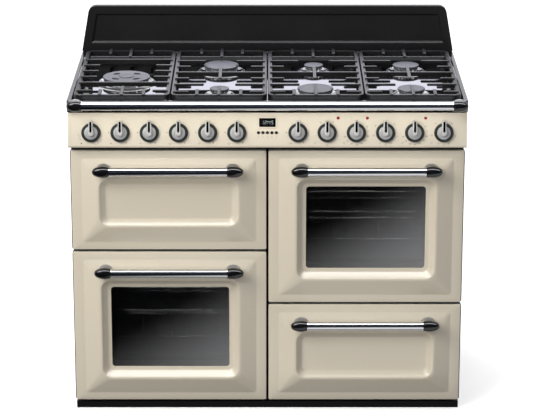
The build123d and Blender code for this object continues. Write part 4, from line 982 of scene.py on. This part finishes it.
# %% Printing: all marks in one film
PLACES = {"knob_2": (-1, 0), "knob_3": (-0.35, 1), "knob_4": (-0.35, -1), "knob_5": (0.35, 1),
          "knob_6": (0.35, -1), "knob_7": (1, 0)}
HOB_SIGN_AT = (217, 37.5)
FLAMES_AT = ((270, 32.5), (151, 32.5))
FLAME_DOT, FLAME_TIP, FLAME_TIP_UP = 1.1, (0.8, 2.2), 1.4
SELECTORS = {"knob_8": (28, 180, 327), "knob_10": (47, 107, 154, 180, 206, 257, 304),
             "knob_12": (40, 105, 154, 180, 206, 257, 318)}
HEATS = ((1,), (-1,), (1, -1), ())
DIAL_RADIUS = 33.5
ARCS = ((264, 236), (124, 160))
ROUND_SIGN_AT, ROUND_SIGN = (222, 40), 1.7
BUTTON_PITCH = 12.3
BUTTON_MARKS = ((-11, 4.0, 0.9), (-12.8, 2.6, 0.8))
OVEN_PLAN, OVEN_PLAN_AT = (5.4, 4.0, 0.55), (229, 43)
OVEN_PLAN_FILL, OVEN_PLAN_ASIDE = (2.4, 3.4), -1.3

ink = open_empty("panel_printing")
for knob, place in PLACES.items():
    hob_sign(*round_knob(knob, *HOB_SIGN_AT), place)
    for spot in FLAMES_AT:
        x, y = round_knob(knob, *spot)
        dot(x, y, FLAME_DOT)
        bar(x, y + FLAME_TIP_UP, *FLAME_TIP)
for knob, angles in SELECTORS.items():
    for number, angle in enumerate(angles):
        oven_sign(*round_knob(knob, angle, DIAL_RADIUS), HEATS[number % len(HEATS)])
for first, last in ARCS:
    swelling_arc("knob_1", first, last)
dot(*round_knob("knob_1", *ROUND_SIGN_AT), ROUND_SIGN)
for place in range(-2, 3):
    for up, length, width in BUTTON_MARKS:
        bar(place * BUTTON_PITCH, up, length, width)
for knob in ("knob_8", "knob_9", "knob_11", "knob_12"):
    x, y = round_knob(knob, *OVEN_PLAN_AT)
    outline_box(x, y, *OVEN_PLAN)
    bar(x + OVEN_PLAN_ASIDE, y, *OVEN_PLAN_FILL)
bpy.ops.object.mode_set(mode="OBJECT")
print("panel printing:", len(ink.data.polygons), "marks")

# %% [markdown]
# The thermostat figures are text, turned into mesh and joined to the rest of the print. They climb
# clockwise from the coolest to the hottest.

# %% Printing: the thermostat figures
COOLEST, HOTTEST, HEAT_STEP = 50, 250, 25
DIAL_START, DIAL_SWEEP = 60, 190
TEXT_SIZE = 4.2
INK_FILM, INK_OUT = 0.06, 0.05
for knob in ("knob_9", "knob_11"):
    for heat in range(COOLEST, HOTTEST + 1, HEAT_STEP):
        angle = DIAL_START + DIAL_SWEEP * (heat - COOLEST) / (HOTTEST - COOLEST)
        x, y = round_knob(knob, angle, DIAL_RADIUS)
        bpy.ops.object.text_add(location=(x * MM, y * MM, 0))
        word = bpy.context.object
        word.data.body = str(heat)
        word.data.size = TEXT_SIZE * MM
        word.data.resolution_u = 2
        word.data.align_x = "CENTER"
        word.data.align_y = "CENTER"
        bpy.ops.object.convert(target="MESH")
        ink.select_set(True)
        bpy.context.view_layer.objects.active = ink
        bpy.ops.object.join()
modify(ink, "SOLIDIFY", thickness=INK_FILM * MM, offset=1)
on_panel(ink, 0, 0, INK_OUT)
seat(ink, "root", "button_plastic")
print("thermostat figures joined:", len(ink.data.polygons), "faces")

# %% [markdown]
# ## Sheets and castings with rounded edges
# The hob, splashback, panel, plinth and pan supports have the right form in the frame already. What
# they lack is the small radius that pressing, casting and enamel give to every edge, and that draws a
# thin line of light. We copy the CAD mesh, close its seams and bevel the sharp edges.


# %% Rounded copies: hob, sides and pan supports
def rounded(node, body, radius, segments, sharp, moves=(), surface=None):
    """A copy of a CAD part, some points moved first, with edges over so many degrees rounded."""
    piece = copied(nodes[node], node + "_rounded")
    del piece["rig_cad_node"]
    only(piece)
    bpy.ops.object.mode_set(mode="EDIT")
    tidy_mesh()
    for test, move in moves:
        pick(piece, "VERT", test)
        bpy.ops.transform.translate(value=move)
    bpy.ops.object.mode_set(mode="OBJECT")
    modify(piece, "BEVEL", width=radius * MM, segments=segments, limit_method="ANGLE",
           angle_limit=math.radians(sharp), use_clamp_overlap=False)
    seat(piece, body, SLOTS[node], node, surface=surface)
    modify(piece, "WEIGHTED_NORMAL", keep_sharp=True)
    return piece


print(rounded("hob_top", "root", radius=1.6, segments=3, sharp=24).name)
print(rounded("side_panels", "root", radius=0.6, segments=2, sharp=30).name)
for side in ("left", "centre_left", "centre_right", "right"):
    body = "pan_support_" + side
    print(rounded(body, body, radius=1.1, segments=2, sharp=30).name)

# %% [markdown]
# Three of the copies are also shaped a little further. The field of the splashback is sunk behind its
# border, so that its lower edge catches the light. The lip of the panel is raised along the slope of
# its face, which leaves a clear dark gap above the doors. The plinth is brought forward and almost
# down to the floor, as it stands in the photograph.

# %% Splashback, control panel and plinth
FIELD_SKIN, FIELD_DROP = 1, 8
BEND_FROM, BEND_TO, BEND_DROP = 4, 5.5, 7
LIP_HEIGHT, LIP_RAISE = 9, 3
TOE_DEPTH, TOE_FORWARD = 4, 12
TOE_HEIGHT, TOE_DROP = 2, 3.5
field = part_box("splashback")[0].y
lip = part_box("control_panel")[0].z
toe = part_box("plinth")[0]
# the upstand is fired to a softer gloss than the hob: a black with one wide, dim light
satin_black = finish("black_satin_enamel", "#18181A", "#121213", 6, 0.3, 0.004, Coat_Weight=0.15,
                     Coat_Roughness=0.2)
rounded("splashback", "root", radius=1.2, segments=3, sharp=20, surface=satin_black, moves=[
    (lambda point: point.co.y < field + FIELD_SKIN * MM, (0, FIELD_DROP * MM, 0)),
    (lambda point: field + BEND_FROM * MM < point.co.y < field + BEND_TO * MM, (0, BEND_DROP * MM, 0))])
rounded("control_panel", "root", radius=0.3, segments=1, sharp=40, moves=[
    (lambda point: point.co.z < lip + LIP_HEIGHT * MM,
     (0, LIP_RAISE * MM / math.tan(LEAN), LIP_RAISE * MM))])
rounded("plinth", "root", radius=0.8, segments=2, sharp=30, moves=[
    (lambda point: point.co.y < toe.y + TOE_DEPTH * MM, (0, -TOE_FORWARD * MM, 0)),
    (lambda point: point.co.z < toe.z + TOE_HEIGHT * MM, (0, 0, -TOE_DROP * MM))])
print("splashback, control panel and plinth")

# %% [markdown]
# Under the hob's front edge a thin black strip is painted shadow: it stands for the dark line of shade
# between the front rail and the top of the panel. It is a cube drawn out to a flat bar. The bevel comes
# before the scale is applied, so it stays as fine as the bar is thin.

# %% Painted shadow strip along the top of the panel
STRIP_SIZE = (1084, 6, 1)
STRIP_UP, STRIP_OUT = 58, 0.3
STRIP_EDGE = 0.3


def soften(piece, width, segments=2):
    """Round every edge sharper than a shallow bend, as tooling and polishing do."""
    modify(piece, "BEVEL", width=width * MM, segments=segments, limit_method="ANGLE",
           angle_limit=math.radians(SMOOTH_UP_TO))


# a black strip of painted shadow, standing for the shade line under the front rail
strip = start(bpy.ops.mesh.primitive_cube_add, "panel_top_shadow_strip", size=1)
strip.scale = Vector(STRIP_SIZE) * MM
on_panel(strip, 0, STRIP_UP, STRIP_OUT)
soften(strip, STRIP_EDGE)
seat(strip, "root", "coated_sheet")
print("strip of", STRIP_SIZE[0], "mm")

# %% [markdown]
# ## The burners
# A burner stands in a black bowl on the hob. On it sit an alloy crown with a row of gas ports round
# its rim, a satin cap that spreads the flame, a white spark plug and a steel flame probe. The crown
# is turned, and its ports are made by picking every third face of the rim and pressing it in, which
# leaves a lighter mesh than cutting each one. Heights here are in mm above the floor, and the first
# number of a row is a step out from the burner's radius.

# %% Burners: the crown
HOB_FLOOR = 901
CROWN_FOOT = 904
CAP_SEAT = 917
PORT_LOW, PORT_HIGH = 911, 916
PORT_EVERY, PORT_FRAME, PORT_DEPTH = 3, 0.5, 2.2
CROWN = ((-5, CROWN_FOOT), (-7, 908), (-3, 910.4), (-2.4, PORT_LOW), (-2.4, PORT_HIGH), (-3, CAP_SEAT))
RAPID, MEDIUM, SIMMER, WOK = 50, 38, 27, 67
CROWN_SIDES = {RAPID: 72, MEDIUM: 72, SIMMER: 48, WOK: 96}


def grown(rows, radius):
    """An outline for a burner of some radius."""
    return [(radius + out, level) for out, level in rows]


def crown(radius):
    """A flared casting whose rim has a port pressed into every third face."""
    sides = CROWN_SIDES[radius]
    piece = turned("crown", [(0, CROWN_FOOT)] + grown(CROWN, radius) + [(0, CAP_SEAT)], sides)
    step = 2 * math.pi / sides

    def port(face):
        around = round(math.atan2(face.center.y, face.center.x) / step - 0.5)
        upright = abs(face.normal.z) < 0.1 and PORT_LOW < face.center.z / MM < PORT_HIGH
        return upright and around % PORT_EVERY == 0

    pick(piece, "FACE", port)
    bpy.ops.mesh.inset(thickness=PORT_FRAME * MM, depth=-PORT_DEPTH * MM, use_individual=True)
    bpy.ops.object.mode_set(mode="OBJECT")
    return piece


crowns = {radius: crown(radius) for radius in CROWN_SIDES}
print("crowns of", list(crowns), "mm")

# %% [markdown]
# Bowl and cap are turned too. The spark plug is a glazed ceramic post, and the probe a slim rod that
# feels the flame. Both stand at the front of the burner, just outside its cap.

# %% Burners: bowl, cap, plug and probe
CAP_LOW, CAP_TOP = CAP_SEAT + 0.1, 923
BOWL_FLOOR = 901.6
BOWL = ((-8, BOWL_FLOOR), (1, BOWL_FLOOR), (6, 903.2), (9, 905.6), (11, 906.3), (13, 905.6), (17, 902),
        (18, HOB_FLOOR), (-8, HOB_FLOOR), (-8, BOWL_FLOOR))
CAP = ((-1, CAP_LOW), (0, 918), (0, 920.4), (-0.7, 921.5), (-2.4, 922.2), (-6, 922.6))
PLUG = [(0, HOB_FLOOR), (3, HOB_FLOOR), (3, 905), (2.2, 906), (2.2, 911), (1.6, 912.5), (0.9, 912.8),
        (0.9, 915.5), (0, 916)]
PROBE = [(0, HOB_FLOOR), (2.2, HOB_FLOOR), (2.2, 907), (1.4, 908), (1.4, 914), (0.8, 915.4), (0, 915.8)]
PIN_OUT = 3.2
PLUG_ANGLE, PROBE_ANGLE = -62, -118


def plain_cap(radius):
    """The round cap of a plain burner."""
    return turned("cap", [(0, CAP_LOW)] + grown(CAP, radius) + [(0, CAP_TOP)], sides=64)


def burner_models(radius, cap):
    """Bowl, crown, cap, spark plug and probe of one burner, standing at the origin."""
    plug = turned("spark_plug", PLUG, sides=16)
    probe = turned("flame_probe", PROBE, sides=16)
    for pin, angle in ((plug, PLUG_ANGLE), (probe, PROBE_ANGLE)):
        turn = math.radians(angle)
        pin.location = Vector((math.cos(turn), math.sin(turn), 0)) * (radius + PIN_OUT) * MM
    bowl = turned("bowl", grown(BOWL, radius), sides=64)
    return {"bowl": bowl, "crown": crowns[radius], "cap": cap, "spark_plug": plug, "flame_probe": probe}


models = {radius: burner_models(radius, plain_cap(radius)) for radius in (RAPID, MEDIUM, SIMMER)}
print(len(models), "plain burners modelled")

# %% [markdown]
# The wok burner has two rings of flame. Its wide cap has four oval air holes round a raised core, cut
# with a Boolean modifier from four stretched cylinders.

# %% Burners: the wok cap
WOK_CAP = [(0, 917.1), (66, 917.1), (67, 918), (67, 920), (66.2, 921), (64, 921.6), (60, 921.2),
           (24, 921), (23, 920.2), (21, 920.2), (20.2, 921), (20, 922.2), (18.6, 922.9), (0, 923)]
HOLE_SIZE, HOLE_DEPTH = (12, 8), 20
HOLE_RING, HOLE_LEVEL = 41, 920
HOLE_EDGE = 0.5
wok_cap = turned("wok_cap_model", WOK_CAP, sides=CROWN_SIDES[WOK])
for quarter in range(4):
    turn = QUARTER_TURN / 2 + quarter * QUARTER_TURN
    hole = start(bpy.ops.mesh.primitive_cylinder_add, "air_hole", vertices=32, radius=1,
                 depth=HOLE_DEPTH * MM)
    hole.scale = (HOLE_SIZE[0] * MM, HOLE_SIZE[1] * MM, 1)
    hole.rotation_euler = (0, 0, turn + QUARTER_TURN)
    hole.location = Vector((HOLE_RING * math.cos(turn), HOLE_RING * math.sin(turn), HOLE_LEVEL)) * MM
    bpy.ops.object.transform_apply(location=True, rotation=True, scale=True)
    modify(wok_cap, "BOOLEAN", operation="DIFFERENCE", object=hole, solver="EXACT")
    bpy.data.objects.remove(hole)
soften(wok_cap, HOLE_EDGE)
models[WOK] = burner_models(WOK, wok_cap)
print("wok cap of", len(wok_cap.data.polygons), "faces")

# %% [markdown]
# There are three plain sizes, each used twice, and the large wok burner by itself. The copies go to
# their places on the hob, two rows deep and at two distances from the middle.

# %% Burners: seven on the hob
HOB_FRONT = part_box("hob_top")[0].y / MM
FRONT_ROW, REAR_ROW, WOK_ROW = 118, 392, 255
NEAR, FAR = 133, 399
BURNERS = {"rapid_left": (-NEAR, REAR_ROW, RAPID), "simmer_left": (-NEAR, FRONT_ROW, SIMMER),
           "simmer_right": (NEAR, REAR_ROW, SIMMER), "rapid_right": (NEAR, FRONT_ROW, RAPID),
           "medium_rear": (FAR, REAR_ROW, MEDIUM), "medium_front": (FAR, FRONT_ROW, MEDIUM),
           "wok": (-FAR, WOK_ROW, WOK)}
BURNER_SLOTS = {"bowl": "black_enamel", "crown": "burner_alloy", "cap": "cap_enamel",
                "spark_plug": "control_body", "flame_probe": "burner_alloy"}
# the CAD model has one node for all bowls, crowns or caps, and the first burner's pieces replace it
BURNER_NODES = {"rapid_left_bowl": ["burner_bases"], "rapid_left_crown": ["burner_crowns"],
                "rapid_left_cap": ["burner_caps"]}
# glazed ceramic: a clean white post with a small sharp light
white_ceramic = finish("glazed_ceramic", "#F2F0EA", "#E6E3DB", 1.2, 0.2, 0.004)
for burner, (x, row, radius) in BURNERS.items():
    for part, model in models[radius].items():
        piece = copied(model, f"{burner}_{part}")
        piece.location += Vector((x, HOB_FRONT + row, 0)) * MM
        surface = white_ceramic if part == "spark_plug" else None
        seat(piece, "root", BURNER_SLOTS[part], *BURNER_NODES.get(piece.name, []), surface=surface)
discard([model for parts in models.values() for model in parts.values()])
print(len(BURNERS), "burners")
